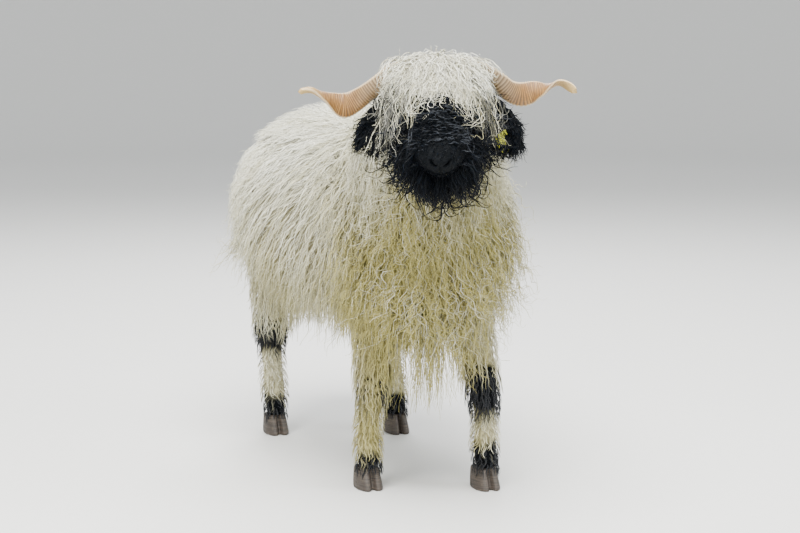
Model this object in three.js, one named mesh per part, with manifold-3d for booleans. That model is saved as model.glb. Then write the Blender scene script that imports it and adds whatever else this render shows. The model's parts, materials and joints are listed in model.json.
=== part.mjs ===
// A Valais blacknose sheep, an adult ewe, life size, standing with her head turned a little to her right.
// Millimetres, +Z up. She faces -Y and her right side is at -X. The origin is on the ground under the middle
// of her box. Every fleshy piece is a chain of oval sections: the skin, a coat core half way out, and tapered
// locks of wool that are rooted in that core and hang over it.
import * as THREE from "three";
import { mergeVertices } from "three/addons/utils/BufferGeometryUtils.js";
import Module from "manifold-3d";

const wasm = await Module();
wasm.setup();

// Driving dimensions.
const BACK_HEIGHT = 722; // skin at the withers
const TRUNK_FRONT = -175; // skin of the brisket
const TRUNK_REAR = 695; // skin of the buttocks
const ELBOW_HEIGHT = 400;
const KNEE_HEIGHT = 215;
const HOCK_HEIGHT = 240;
const HOOF_HEIGHT = 46;
const HEAD_YAW = -20; // degrees, towards her right
const HEAD_PITCH = 30; // degrees, nose down
const POLL = [-53, -286, 833]; // middle of the skull between the ears
const GAP = 0.45; // between nodes that touch
const SHORTEST_EDGE = 0.03;
const CORE = 0.45; // coat level of the core, where 0 is the skin and 1 the outline of the wool

const v3 = (x, y, z) => new THREE.Vector3(x, y, z);
const radians = THREE.MathUtils.degToRad;
const UP = v3(0, 0, 1);
const DOWN = v3(0, 0, -1);
const BACK = v3(0, 1, 0);

// A repeatable random number from 0 to 1.
let seed = 7;
function random() {
  seed = (seed * 1103515245 + 12345) % 2147483648;
  return seed / 2147483648;
}
const vary = (share) => 1 + share * (2 * random() - 1);

// A closed surface through rings of equal length, with one point beyond each end.
function loftRings(rings, first, last) {
  const sides = rings[0].length;
  const positions = [first, ...rings.flat(), last].flatMap((p) => [p.x, p.y, p.z]);
  const index = [];
  const at = (ring, side) => 1 + ring * sides + (side % sides);
  const end = 1 + rings.length * sides;
  for (let j = 0; j < sides; j++) {
    index.push(0, at(0, j), at(0, j + 1));
    for (let i = 0; i + 1 < rings.length; i++) {
      index.push(at(i, j), at(i + 1, j), at(i + 1, j + 1));
      index.push(at(i, j), at(i + 1, j + 1), at(i, j + 1));
    }
    index.push(end, at(rings.length - 1, j + 1), at(rings.length - 1, j));
  }
  const geometry = new THREE.BufferGeometry();
  geometry.setAttribute("position", new THREE.BufferAttribute(new Float32Array(positions), 3));
  geometry.setIndex(index);
  return geometry;
}

// A closed geometry as a solid with its faces pointing out.
function solid(geometry) {
  const bare = geometry.clone();
  bare.deleteAttribute("normal");
  bare.deleteAttribute("uv");
  const merged = mergeVertices(bare, 1e-3);
  const vertProperties = new Float32Array(merged.attributes.position.array);
  const triVerts = new Uint32Array(merged.index.array);
  const closed = () => {
    return new wasm.Manifold(new wasm.Mesh({ numProp: 3, vertProperties, triVerts, tolerance: SHORTEST_EDGE }));
  };
  const made = closed();
  if (made.volume() >= 0) return made;
  for (let i = 0; i < triVerts.length; i += 3) {
    [triVerts[i + 1], triVerts[i + 2]] = [triVerts[i + 2], triVerts[i + 1]];
  }
  return closed();
}

const join = (...pieces) => wasm.Manifold.union(pieces.flat());

// Catmull-Rom through rows of numbers, at a place t from 0 to 1.
function blendRows(rows, t) {
  const place = t * (rows.length - 1);
  const i = Math.min(Math.floor(place), rows.length - 2);
  const f = place - i;
  const row = (k) => rows[THREE.MathUtils.clamp(k, 0, rows.length - 1)];
  return rows[0].map((_, n) => {
    const [a, b, c, d] = [row(i - 1)[n], row(i)[n], row(i + 1)[n], row(i + 2)[n]];
    return b + 0.5 * f * (c - a + f * (2 * a - 5 * b + 4 * c - d + f * (3 * (b - c) + d - a)));
  });
}

// A chain of oval sections. A row is x, y, z of the middle, then the skin's reach sideways, up and down,
// then the coat's depth sideways, up and down. The caps are how far its two round ends reach beyond the rows.
class Limb {
  constructor(rows, upward, caps) {
    this.rows = rows;
    this.upward = upward;
    this.caps = caps;
    const samples = 48;
    this.samples = [...Array(samples + 1).keys()].map((i) => this.section(i / samples, CORE));
  }

  section(t, level, grow = 0) {
    const [x, y, z, side, up, down, coatSide, coatUp, coatDown] = blendRows(this.rows, t);
    const step = 0.01;
    const before = blendRows(this.rows, Math.max(0, t - step));
    const after = blendRows(this.rows, Math.min(1, t + step));
    const along = v3(after[0] - before[0], after[1] - before[1], after[2] - before[2]).normalize();
    const across = along.clone().cross(this.upward).normalize();
    return {
      middle: v3(x, y, z),
      along,
      across,
      rise: across.clone().cross(along),
      side: side + level * coatSide + grow,
      up: up + level * coatUp + grow,
      down: down + level * coatDown + grow,
    };
  }

  // A point of the surface at a coat level, and the way out from it.
  spot(t, degrees, level, grow = 0) {
    const s = this.section(t, level, grow);
    const [c, n] = [Math.cos(radians(degrees)), Math.sin(radians(degrees))];
    const height = n >= 0 ? s.up : s.down;
    const point = s.middle.clone().addScaledVector(s.across, s.side * c).addScaledVector(s.rise, height * n);
    const out = s.across.clone().multiplyScalar(c / s.side).addScaledVector(s.rise, n / height).normalize();
    return { point, out };
  }

  shape(level, rings, sides, grow = 0) {
    const loops = [];
    for (let i = 0; i < rings; i++) {
      const loop = [];
      const t = i / (rings - 1);
      for (let j = 0; j < sides; j++) loop.push(this.spot(t, (360 * j) / sides, level, grow).point);
      loops.push(loop);
    }
    const start = this.section(0, level);
    const finish = this.section(1, level);
    const first = start.middle.addScaledVector(start.along, -this.caps[0] - grow);
    const last = finish.middle.addScaledVector(finish.along, this.caps[1] + grow);
    return solid(loftRings(loops, first, last));
  }

  // Moves a point out of the core to the given clearance, and returns the way out there.
  clear(point, clearance) {
    let best = 0;
    this.samples.forEach((s, i) => {
      if (s.middle.distanceToSquared(point) < this.samples[best].middle.distanceToSquared(point)) best = i;
    });
    const s = this.samples[best];
    const away = point.clone().sub(s.middle);
    const a = away.dot(s.across);
    const b = away.dot(s.rise);
    let w = away.dot(s.along);
    const beyond = best === 0 ? -w : best === this.samples.length - 1 ? w : 0;
    const cap = best === 0 ? this.caps[0] : this.caps[1];
    if (beyond <= 0) w = 0;
    const height = b >= 0 ? s.up : s.down;
    const out = s.across.clone().multiplyScalar(a / s.side ** 2).addScaledVector(s.rise, b / height ** 2);
    if (w) out.addScaledVector(s.along, w / cap ** 2);
    out.normalize();
    const r = Math.hypot(a / s.side, b / height, w ? w / cap : 0);
    const reach = Math.hypot(a, b, w) || 1;
    const wanted = 1 + (clearance * r) / reach;
    if (r < wanted && r > 0.05) {
      const more = wanted / r - 1;
      point.addScaledVector(s.across, a * more).addScaledVector(s.rise, b * more);
      point.addScaledVector(s.along, w * more);
    }
    return { out, near: r < wanted + 0.35 };
  }
}

// Trunk: y, middle height, then side, up, down, and the coat.
const BELLY_COAT = 40;
const trunk = new Limb(
  [
    [TRUNK_FRONT, 545, 62, 70, 78, 48, 40, 60],
    [-115, 550, 118, 130, 142, 50, 50, 56],
    [-30, 555, 148, BACK_HEIGHT - 555, 170, 55, 60, BELLY_COAT],
    [110, 552, 165, BACK_HEIGHT - 552, 172, 78, 64, BELLY_COAT],
    [290, 550, 180, 168, 172, 90, 64, BELLY_COAT],
    [440, 556, 172, 160, 158, 88, 64, BELLY_COAT],
    [560, 566, 152, 146, 140, 80, 62, BELLY_COAT],
    [640, 566, 118, 118, 118, 70, 56, 50],
    [TRUNK_REAR, 560, 62, 66, 72, 52, 45, 50],
  ].map(([y, z, ...rest]) => [0, y, z, ...rest]),
  UP,
  [34, 34],
);

// Neck, from the nape down into the shoulders.
const neck = new Limb(
  [
    [-50, -262, 812, 60, 62, 70, 48, 26, 30],
    [-44, -220, 782, 62, 66, 84, 64, 45, 60],
    [-30, -150, 728, 74, 78, 108, 74, 55, 80],
    [-12, -70, 664, 100, 92, 130, 66, 60, 90],
    [0, 10, 604, 115, 100, 140, 40, 40, 50],
  ],
  UP,
  [20, 20],
);

// Head frames: the level one turns with the neck only, the tilted one also drops the nose.
const levelHead = new THREE.Matrix4()
  .makeTranslation(...POLL)
  .multiply(new THREE.Matrix4().makeRotationZ(radians(HEAD_YAW)));
const tiltedHead = levelHead.clone().multiply(new THREE.Matrix4().makeRotationX(radians(HEAD_PITCH)));
const inHead = (x, y, z) => v3(x, y, z).applyMatrix4(tiltedHead);
const headWay = (x, y, z) => v3(x, y, z).transformDirection(tiltedHead);

// Skull and muzzle: distance behind the poll, height, then side, up, down and the coat.
const head = new Limb(
  [
    [-238, -2, 26, 18, 24, 6, 6, 10],
    [-222, 0, 38, 32, 38, 16, 8, 22],
    [-195, 2, 43, 38, 45, 34, 12, 36],
    [-150, 2, 44, 42, 52, 44, 14, 44],
    [-100, 0, 54, 52, 66, 42, 20, 46],
    [-55, -2, 66, 60, 74, 38, 34, 44],
    [0, 0, 66, 62, 70, 42, 34, 40],
    [38, -6, 48, 46, 52, 42, 30, 40],
  ].map(([y, z, ...rest]) => [...inHead(0, y, z).toArray(), ...rest]),
  headWay(0, 0, 1),
  [6, 20],
);

// Legs: x offset from the foot, y offset, height, then side, back, front and the coat.
const FRONT_ROWS = [
  [-22, 20, 470, 42, 56, 52, 20, 20, 20],
  [-20, 22, ELBOW_HEIGHT, 38, 46, 40, 24, 24, 24],
  [-12, 8, 310, 27, 33, 28, 30, 30, 30],
  [-4, -4, KNEE_HEIGHT, 25, 24, 28, 18, 18, 16],
  [0, 2, 150, 16, 18, 16, 24, 26, 22],
  [0, 4, 95, 20, 22, 19, 18, 20, 16],
  [0, -1, 44, 20, 21, 19, 12, 13, 10],
];
const HIND_ROWS = [
  [-30, 10, 540, 58, 88, 92, 30, 30, 30],
  [-16, 0, 450, 54, 84, 86, 44, 44, 36],
  [-8, -2, 365, 42, 60, 56, 42, 46, 38],
  [-2, 34, 285, 27, 35, 30, 32, 34, 30],
  [0, 46, HOCK_HEIGHT, 24, 29, 24, 20, 22, 18],
  [0, 32, 165, 18, 20, 18, 24, 26, 22],
  [0, 16, 100, 21, 22, 20, 18, 20, 16],
  [0, 4, 44, 20, 21, 20, 12, 13, 10],
];
const FEET = {
  front_right: { x: -100, y: -12, rows: FRONT_ROWS },
  front_left: { x: 130, y: -95, rows: FRONT_ROWS },
  hind_right: { x: -132, y: 560, rows: HIND_ROWS },
  hind_left: { x: 138, y: 472, rows: HIND_ROWS },
};
// Where a foot stands when its leg hangs straight. A foot set forward leaves its elbow or hip behind.
const STRAIGHT = { front: -30, hind: 540 };

function legLimb(name) {
  const { x, y, rows } = FEET[name];
  const sign = Math.sign(x);
  const stride = y - STRAIGHT[name.split("_")[0]];
  const top = rows[0][2];
  const placed = rows.map(([dx, dy, z, ...rest]) => {
    return [x + sign * dx, y + dy - stride * (z / top) ** 2, z, ...rest];
  });
  return new Limb(placed, BACK, [8, 4]);
}

// Tail, from the rump down to the hock.
const tail = new Limb(
  [
    [0, 672, 640, 24, 22, 26, 26, 22, 26],
    [0, 720, 610, 22, 22, 22, 34, 30, 28],
    [0, 752, 530, 18, 18, 18, 38, 34, 26],
    [0, 758, 430, 15, 15, 15, 38, 34, 30],
    [0, 752, 345, 12, 12, 12, 32, 30, 26],
    [0, 748, 300, 8, 8, 8, 20, 18, 16],
  ],
  BACK,
  [10, 14],
);

// One tapered lock. It starts inside the core at root, leaves along heading, sinks towards the ground by the
// share pull at each step, is kept off the limbs it hangs over, and swings from side to side as it goes.
const LOCK = { sink: 12, stand: 0.15, steps: 4, swing: 0.4, pull: 0.3, rise: 12, lift: 9 };
// The lock's section is a flat triangle. Shares of its thickness lie behind and before its middle line, and
// its grown copy is wider by more than the gap, so that the slanting sides keep the gap too.
const SECTION = { behind: 0.35, before: 0.65, tipShare: 0.5, growAcross: 3.2, growBefore: 1.6, waves: 5 };
const lockTaper = (s) => Math.min(1, 0.62 + 1.9 * s) * (1 - 0.76 * s ** 3);
function lock(options) {
  const { root, out, heading, length, width, thick, over = [], turn = 0, grow = 0 } = options;
  const { sink, steps, swing, pull, rise, lift } = { ...LOCK, ...options };
  const middles = [root.clone().addScaledVector(options.sinkWay ?? out, -sink)];
  const outs = [out.clone()];
  const way = heading.clone().normalize();
  let here = root.clone();
  for (let i = 1; i <= steps; i++) {
    const from = here;
    here = here.clone().addScaledVector(way, length / steps);
    let facing = outs.at(-1);
    for (const limb of over) {
      const { out: pushed, near } = limb.clear(here, thick * SECTION.behind + lift + (rise * i) / steps);
      if (near) facing = pushed;
    }
    way.copy(here).sub(from).normalize();
    way.multiplyScalar(1 - pull).addScaledVector(DOWN, pull).normalize();
    middles.push(here);
    outs.push(facing.clone());
  }
  const rings = [];
  for (let i = 0; i <= steps; i++) {
    const s = i / steps;
    const along = middles[Math.min(i + 1, steps)].clone().sub(middles[Math.max(i - 1, 0)]).normalize();
    const across = along.clone().cross(outs[i]).normalize();
    const facing = across.clone().cross(along);
    const aside = width * swing * s * Math.sin(turn + SECTION.waves * s);
    const middle = middles[i].clone().addScaledVector(across, aside);
    const half = width * lockTaper(s) + SECTION.growAcross * grow;
    const deep = thick * (1 + SECTION.tipShare * (lockTaper(s) - 1));
    const behind = -deep * SECTION.behind - grow;
    const before = deep * SECTION.before + SECTION.growBefore * grow;
    rings.push([
      middle.clone().addScaledVector(across, half).addScaledVector(facing, behind),
      middle.clone().addScaledVector(facing, before),
      middle.clone().addScaledVector(across, -half).addScaledVector(facing, behind),
    ]);
  }
  const last = middles[steps];
  const tip = width * SECTION.tipShare + SECTION.growAcross * grow;
  const end = last.clone().sub(middles[steps - 1]).setLength(tip).add(last);
  const first = middles[0].clone().addScaledVector(options.sinkWay ?? out, -3 - grow);
  return solid(loftRings(rings, first, end));
}

// A lock rooted on a limb's core, at t along it and degrees round it, that lies towards lie.
function rooted(limb, t, degrees, lie, options) {
  const { point, out } = limb.spot(t, degrees, CORE);
  const flat = lie.clone().addScaledVector(out, -lie.dot(out)).normalize();
  const heading = flat.addScaledVector(out, options.stand ?? LOCK.stand);
  return lock({ root: point, out, heading, over: [limb], ...options });
}

// The place t along a limb at a share of its length.
function evenly(limb, share) {
  const lengths = [0];
  limb.samples.forEach((s, i) => {
    if (i) lengths.push(lengths[i - 1] + s.middle.distanceTo(limb.samples[i - 1].middle));
  });
  const wanted = share * lengths.at(-1);
  const i = lengths.findIndex((l) => l >= wanted);
  if (i <= 0) return 0;
  return (i - 1 + (wanted - lengths[i - 1]) / (lengths[i] - lengths[i - 1])) / (lengths.length - 1);
}

const onSide = (sign, degrees) => (sign > 0 ? degrees : 180 - degrees);

const legs = Object.fromEntries(Object.keys(FEET).map((name) => [name, legLimb(name)]));

// The fleece of the trunk falls from the parting along the spine in rows. The lowest row hangs free.
const FLEECE_ROWS = [
  { degrees: 80, length: 165 },
  { degrees: 44, length: 175 },
  { degrees: 8, length: 185 },
  { degrees: -27, length: 165 },
];
const FLEECE = { columns: 8, width: 46, thick: 20, rise: 30, swing: 0.28 };
// Wool that hangs from the two ends of the trunk: t, the way it lies, and the degrees round the end.
const FLEECE_ENDS = [
  { t: 1, lie: v3(0, 0.35, -1), turns: [-38, 0, 34, 146, 180, 218] },
  { t: 0, lie: v3(0, -0.1, -1), turns: [-56, 236, 270] },
];
const END_LOCK = { length: 165, width: 36, thick: 20, pull: 0.45 };
function trunkLocks(grow) {
  seed = 11;
  const over = [trunk, ...Object.values(legs)];
  const locks = [];
  for (const sign of [1, -1]) {
    FLEECE_ROWS.forEach(({ degrees, length }, row) => {
      for (let i = 0; i < FLEECE.columns; i++) {
        const share = (i + 0.3 + 0.45 * (row % 2)) / FLEECE.columns;
        const narrow = 1 - 0.3 * Math.abs(2 * share - 1) ** 3;
        const lie = v3(sign * 0.6, 0.1 + 1.1 * Math.max(0, share - 0.8), -1);
        locks.push(
          rooted(trunk, evenly(trunk, 0.03 + 0.95 * share), onSide(sign, degrees + 4 * random()), lie, {
            length: length * vary(0.1),
            width: FLEECE.width * vary(0.1) * narrow,
            thick: FLEECE.thick,
            rise: FLEECE.rise,
            swing: FLEECE.swing,
            turn: 2 * row + random(),
            over,
            grow,
          }),
        );
      }
    });
  }
  for (const { t, lie, turns } of FLEECE_ENDS) {
    for (const degrees of turns) {
      locks.push(rooted(trunk, t, degrees, lie, { ...END_LOCK, over, turn: 6 * random(), grow }));
    }
  }
  return locks;
}

// The wool of the neck hangs straight down over the chest, longest at the throat.
const NECK_ROWS = [
  { degrees: 80, length: 135 },
  { degrees: 44, length: 165 },
  { degrees: 8, length: 190 },
  { degrees: -28, length: 210 },
  { degrees: -64, length: 215 },
];
const MANE = { columns: 3, width: 37, thick: 18, rise: 30, swing: 0.25 };
const THROAT = { shares: [0.2, 0.52], length: 175, width: 40, pull: 0.5 };
function neckLocks(grow) {
  seed = 23;
  const locks = [];
  for (const sign of [1, -1]) {
    NECK_ROWS.forEach(({ degrees, length }, row) => {
      for (let i = 0; i < MANE.columns; i++) {
        const start = degrees > 30 ? 0.05 : 0.16;
        const t = evenly(neck, start + ((0.8 - start) * (i + 0.5 * (row % 2))) / MANE.columns);
        locks.push(
          rooted(neck, t, onSide(sign, degrees), v3(sign * 0.5, -0.1, -1), {
            length: length * vary(0.1),
            width: MANE.width * vary(0.1),
            thick: MANE.thick,
            rise: MANE.rise,
            swing: MANE.swing,
            turn: 2 * row + random(),
            over: [neck, trunk],
            grow,
          }),
        );
      }
    });
  }
  for (const share of THROAT.shares) {
    const { length, width, pull } = THROAT;
    const options = { length, width, pull, thick: MANE.thick, over: [neck, trunk], grow };
    locks.push(rooted(neck, evenly(neck, share), -90, DOWN, options));
  }
  return locks;
}

// The forelock springs from the poll in tiers and falls over the brow. Its tiers: t along the head, how many
// degrees it spans, locks, their length and how far they rise off the skull. It is shortest in the middle.
const FORELOCK = [
  { t: 0.7, spread: 96, count: 5, length: 86, rise: 6 },
  { t: 0.82, spread: 124, count: 7, length: 132, rise: 14 },
  { t: 0.95, spread: 84, count: 5, length: 175, rise: 22 },
];
const FORELOCK_LOCK = { width: 15.5, thick: 9, sink: 10, stand: 0.1, pull: 0.42, middleShare: 0.8 };
const CHEEK_LOCK = { sink: 9, steps: 3, rise: 16 };
// The wool of the cheeks and the beard round the jaw: t, degrees, length and half width.
const CHEEKS = [
  [0.81, 12, 112, 21],
  [0.82, -14, 100, 21],
  [0.72, -1, 88, 19],
  [0.73, -28, 82, 19],
  [0.62, -12, 70, 18],
  [0.6, -42, 62, 17],
  [0.48, -30, 50, 15],
  [0.72, -62, 50, 16],
  [0.56, -68, 44, 15],
  [0.4, -58, 40, 14],
  [0.24, -50, 34, 12],
  [0.1, -60, 30, 10],
];
function headLocks(grow) {
  seed = 31;
  const locks = [];
  for (const { t, spread, count, length, rise } of FORELOCK) {
    for (let i = 0; i < count; i++) {
      const degrees = 90 + spread * (i / (count - 1) - 0.5);
      const lie = headWay(0.4 * Math.cos(radians(degrees)), -1, 0);
      const reach = THREE.MathUtils.lerp(FORELOCK_LOCK.middleShare, 1, Math.abs((2 * i) / (count - 1) - 1));
      locks.push(
        rooted(head, t, degrees, lie, {
          ...FORELOCK_LOCK,
          length: length * reach * vary(0.12),
          width: FORELOCK_LOCK.width * vary(0.1),
          rise,
          turn: random(),
          grow,
        }),
      );
    }
  }
  for (const sign of [1, -1]) {
    for (const [t, degrees, length, width] of CHEEKS) {
      const lie = headWay(sign * 0.15, -0.35, 0).add(DOWN);
      locks.push(
        rooted(head, t, onSide(sign, degrees), lie, {
          ...CHEEK_LOCK,
          length: length * vary(0.12),
          width: width * vary(0.1),
          thick: width * 0.5,
          turn: 1 + random(),
          grow,
        }),
      );
    }
  }
  return locks;
}

// Eyes, and the hollow in the wool through which each looks out, sideways and a little forwards.
const EYE = { radius: 14.5, across: 57, back: -66, up: 20 };
const EYE_HOLLOW = { inner: 13, outer: 34, depth: 60 };
const LID = { radius: 14, tube: 4.2, forward: 7, wide: 1.15, tall: 0.8 };
const eyeMiddle = (sign) => inHead(sign * EYE.across, EYE.back, EYE.up);
const eyeAim = (sign) => headWay(sign, -0.35, 0.1).normalize();

function eyeShape(sign, grow) {
  return solid(new THREE.SphereGeometry(EYE.radius + grow, 10, 7)).translate(eyeMiddle(sign).toArray());
}

function eyeHollow(sign) {
  const cone = new THREE.CylinderGeometry(EYE_HOLLOW.outer, EYE_HOLLOW.inner, EYE_HOLLOW.depth, 14);
  cone.translate(0, EYE_HOLLOW.depth / 2, 0);
  cone.applyQuaternion(new THREE.Quaternion().setFromUnitVectors(v3(0, 1, 0), eyeAim(sign)));
  return solid(cone).translate(eyeMiddle(sign).toArray());
}

// Upper and lower lid, one almond ring that lies on the eyeball.
function lids(sign) {
  const ring = new THREE.TorusGeometry(LID.radius, LID.tube, 4, 10);
  const aim = eyeAim(sign);
  const along = headWay(0, 1, 0);
  const rise = along.clone().cross(aim).normalize();
  const length = aim.clone().cross(rise);
  ring.scale(LID.wide, LID.tall, 1);
  ring.applyMatrix4(new THREE.Matrix4().makeBasis(length, rise, aim));
  return solid(ring).translate(eyeMiddle(sign).addScaledVector(aim, LID.forward).toArray());
}

// Places an egg in the tilted head frame, turned about the way it looks.
function egg([x, y, z], [side, along, up], turn = 0) {
  const shape = new THREE.SphereGeometry(1, 8, 6).scale(side, along, up).rotateY(radians(turn));
  return solid(shape.translate(x, y, z).applyMatrix4(tiltedHead));
}

// Nostrils slant up and outwards. The upper lip is split in the middle, and the mouth runs back past it.
const NOSTRIL = { across: 15, back: -243, up: 5, size: [9, 13, 3.6], turn: 35 };
const NOSE_WING = { across: 15, back: -232, up: 7, size: [13, 11, 11] };
const UPPER_LIP = { across: 17, back: -228, up: -7, size: [16, 16, 10] };
const LOWER_LIP = { back: -222, up: -27, size: [24, 19, 10] };
const MOUTH = { up: -16, half: 1.5, front: -262, corner: -186, side: 90, deeper: 2 };
const PHILTRUM = { back: -246, up: -8, size: [1.4, 9, 12] };

function mouthCut() {
  const length = MOUTH.corner - MOUTH.front;
  const slab = new THREE.BoxGeometry(2 * MOUTH.side, length, 2 * MOUTH.half);
  slab.translate(0, MOUTH.front + length / 2, MOUTH.up).applyMatrix4(tiltedHead);
  return solid(slab).subtract(head.shape(0, 8, 12, -MOUTH.deeper));
}

function headShape(grow) {
  const lip = egg([0, LOWER_LIP.back, LOWER_LIP.up], LOWER_LIP.size.map((s) => s + grow));
  let made = join(head.shape(CORE, 14, 14, grow), lip);
  for (const sign of [1, -1]) {
    for (const { across, back, up, size } of [NOSE_WING, UPPER_LIP]) {
      made = made.add(egg([sign * across, back, up], size.map((s) => s + grow)));
    }
    made = made.subtract(eyeHollow(sign)).add(lids(sign));
  }
  if (grow) return join(made, headLocks(grow));
  made = made.subtract(mouthCut()).subtract(egg([0, PHILTRUM.back, PHILTRUM.up], PHILTRUM.size));
  for (const sign of [1, -1]) {
    const { across, back, up, size, turn } = NOSTRIL;
    made = made.subtract(egg([sign * across, back, up], size, -sign * turn));
  }
  return join(made, headLocks(0));
}

// Horns: points across, back and up from the poll on the level frame, with the flat section's half width,
// half thickness and turn in degrees.
const HORN_LEFT = [
  [40, 6, 46, 24, 15, 60],
  [72, 16, 40, 24, 14, 58],
  [104, 30, 22, 23, 13, 62],
  [148, 42, -1, 21, 10, 80],
  [186, 34, -3, 18, 9, 118],
  [214, 16, 4, 14, 7, 175],
  [241, -2, 15, 11, 6, 235],
  [262, -10, 6, 8, 5, 262],
];
const HORN_RIGHT = [
  [40, 6, 46, 24, 15, 60],
  [74, 16, 42, 24, 14, 54],
  [108, 30, 24, 23, 13, 52],
  [142, 42, -6, 22, 11, 62],
  [172, 38, -27, 20, 10, 95],
  [208, 18, -18, 15, 7, 160],
  [238, -2, 2, 11, 6, 225],
  [262, -10, 4, 8, 5, 260],
];

// The middle of a row of a horn or ear, and the way it grows there.
function curve(rows, sign, t) {
  const step = 0.02;
  const spot = (at) => {
    const row = blendRows(rows, THREE.MathUtils.clamp(at, 0, 1));
    return v3(sign * row[0], row[1], row[2]).applyMatrix4(levelHead);
  };
  return { row: blendRows(rows, t), middle: spot(t), along: spot(t + step).sub(spot(t - step)).normalize() };
}

function hornShape(rows, sign, grow) {
  const rings = [];
  const count = 20;
  const sides = 8;
  for (let i = 0; i < count; i++) {
    const { row, middle, along } = curve(rows, sign, i / (count - 1));
    const flat = along.clone().cross(UP).normalize();
    const rise = flat.clone().cross(along);
    const turn = radians(row[5]) * sign;
    const wide = flat.clone().multiplyScalar(Math.cos(turn)).addScaledVector(rise, Math.sin(turn));
    const thin = wide.clone().cross(along);
    const ridge = i % 2 ? 1 : 0.93;
    const loop = [];
    for (let j = 0; j < sides; j++) {
      const angle = (2 * Math.PI * j) / sides;
      const wideReach = (row[3] * ridge + grow) * Math.cos(angle);
      const thinReach = (row[4] * ridge + grow) * Math.sin(angle);
      loop.push(middle.clone().addScaledVector(wide, wideReach).addScaledVector(thin, thinReach));
    }
    rings.push(loop);
  }
  const root = curve(rows, sign, 0);
  const tip = curve(rows, sign, 1);
  const first = root.middle.addScaledVector(root.along, -4 - grow);
  return solid(loftRings(rings, first, tip.middle.addScaledVector(tip.along, 8 + grow)));
}

// Ears: a cupped leaf from the side of the head, hanging outwards. A row is a point across, back and up from
// the poll on the level frame, then the leaf's half width and how deep its cup is.
const EAR_LEFT = [
  [58, 22, -2, 17, 0],
  [81, 18, -22, 26, 9],
  [107, 12, -48, 31, 13],
  [130, 7, -77, 27, 8],
  [144, 4, -99, 15, 0],
];
const EAR_RIGHT = EAR_LEFT.map(([x, y, z, ...rest]) => [x * 0.97, y, z * 1.03, ...rest]);
const EAR_THICKNESS = 6;
const EAR_LOCK = { width: 12, thick: 7, sink: 5, steps: 3, pull: 0.2 };
// Locks that fringe an ear: t along it, place across it from -1 to 1, and length.
const EAR_FRINGE = [
  [0.55, 1, 32],
  [0.8, 1, 36],
  [1, 0.6, 40],
  [1, -0.5, 38],
  [0.78, -1, 32],
];

function earFrame(rows, sign, t) {
  const { row, middle, along } = curve(rows, sign, t);
  const wide = along.clone().cross(v3(0, 1, 0).transformDirection(levelHead)).normalize();
  const rear = wide.clone().cross(along);
  const place = (u, lift, grow) =>
    middle
      .clone()
      .addScaledVector(wide, u * (row[3] + grow))
      .addScaledVector(rear, row[4] * (1 - u * u) + lift);
  return { along, wide, rear, place };
}

function earShape(rows, sign, grow) {
  const count = 7;
  const across = 5;
  const rings = [];
  for (let i = 0; i < count; i++) {
    const { place } = earFrame(rows, sign, i / (count - 1));
    const loop = [];
    for (let j = 0; j <= across; j++) loop.push(place(-1 + (2 * j) / across, EAR_THICKNESS / 2 + grow, grow));
    const inner = -EAR_THICKNESS / 2 - grow;
    for (let j = across; j >= 0; j--) loop.push(place(-1 + (2 * j) / across, inner, grow));
    rings.push(loop);
  }
  const root = curve(rows, sign, 0);
  const tip = curve(rows, sign, 1);
  const first = root.middle.addScaledVector(root.along, -4 - grow);
  const leaf = solid(loftRings(rings, first, tip.middle.addScaledVector(tip.along, 12 + grow)));
  seed = 41;
  const fringe = EAR_FRINGE.map(([t, u, length]) => {
    const { along, wide, rear, place } = earFrame(rows, sign, t);
    const heading = along.clone().addScaledVector(wide, 2.2 * u * (1.1 - t)).addScaledVector(DOWN, 0.3);
    return lock({
      root: place(u, 0, 0),
      out: rear,
      sinkWay: heading,
      heading,
      ...EAR_LOCK,
      length: length * vary(0.15),
      turn: 6 * random(),
      grow,
    });
  });
  return join(leaf, fringe);
}

// The tag in her left ear: a soft blank plate that hangs before the ear on a round stud.
const TAG = { t: 0.74, across: -0.4, width: 32, height: 36, thickness: 2, corner: 6, stud: 6, away: 7 };
function tagShape(grow) {
  const { along, wide, rear, place } = earFrame(EAR_LEFT, 1, TAG.t);
  const [w, h, c] = [TAG.width / 2 + grow, TAG.height + grow, TAG.corner];
  const outline = new THREE.Shape();
  outline.moveTo(-w + c, c / 2 + grow);
  outline.lineTo(w - c, c / 2 + grow);
  outline.quadraticCurveTo(w, c / 2 + grow, w, c / 2 + grow - c);
  outline.lineTo(w, -h + c);
  outline.quadraticCurveTo(w, -h, w - c, -h);
  outline.lineTo(-w + c, -h);
  outline.quadraticCurveTo(-w, -h, -w, -h + c);
  outline.lineTo(-w, c / 2 + grow - c);
  outline.quadraticCurveTo(-w, c / 2 + grow, -w + c, c / 2 + grow);
  const depth = TAG.thickness + 2 * grow;
  const plate = new THREE.ExtrudeGeometry(outline, { depth, bevelEnabled: false, curveSegments: 2 });
  plate.translate(0, TAG.stud / 2, -depth / 2 - TAG.away);
  const stud = new THREE.CylinderGeometry(TAG.stud + grow, TAG.stud + grow, TAG.away + 1.5 + 2 * grow, 12);
  stud.rotateX(Math.PI / 2).translate(0, 0, -TAG.away / 2 + 0.75);
  const middle = place(TAG.across, -EAR_THICKNESS / 2, 0);
  const basis = new THREE.Matrix4().makeBasis(wide, along.clone().negate(), rear.clone()).setPosition(middle);
  return join(solid(plate.applyMatrix4(basis)), solid(stud.applyMatrix4(basis)));
}

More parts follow.
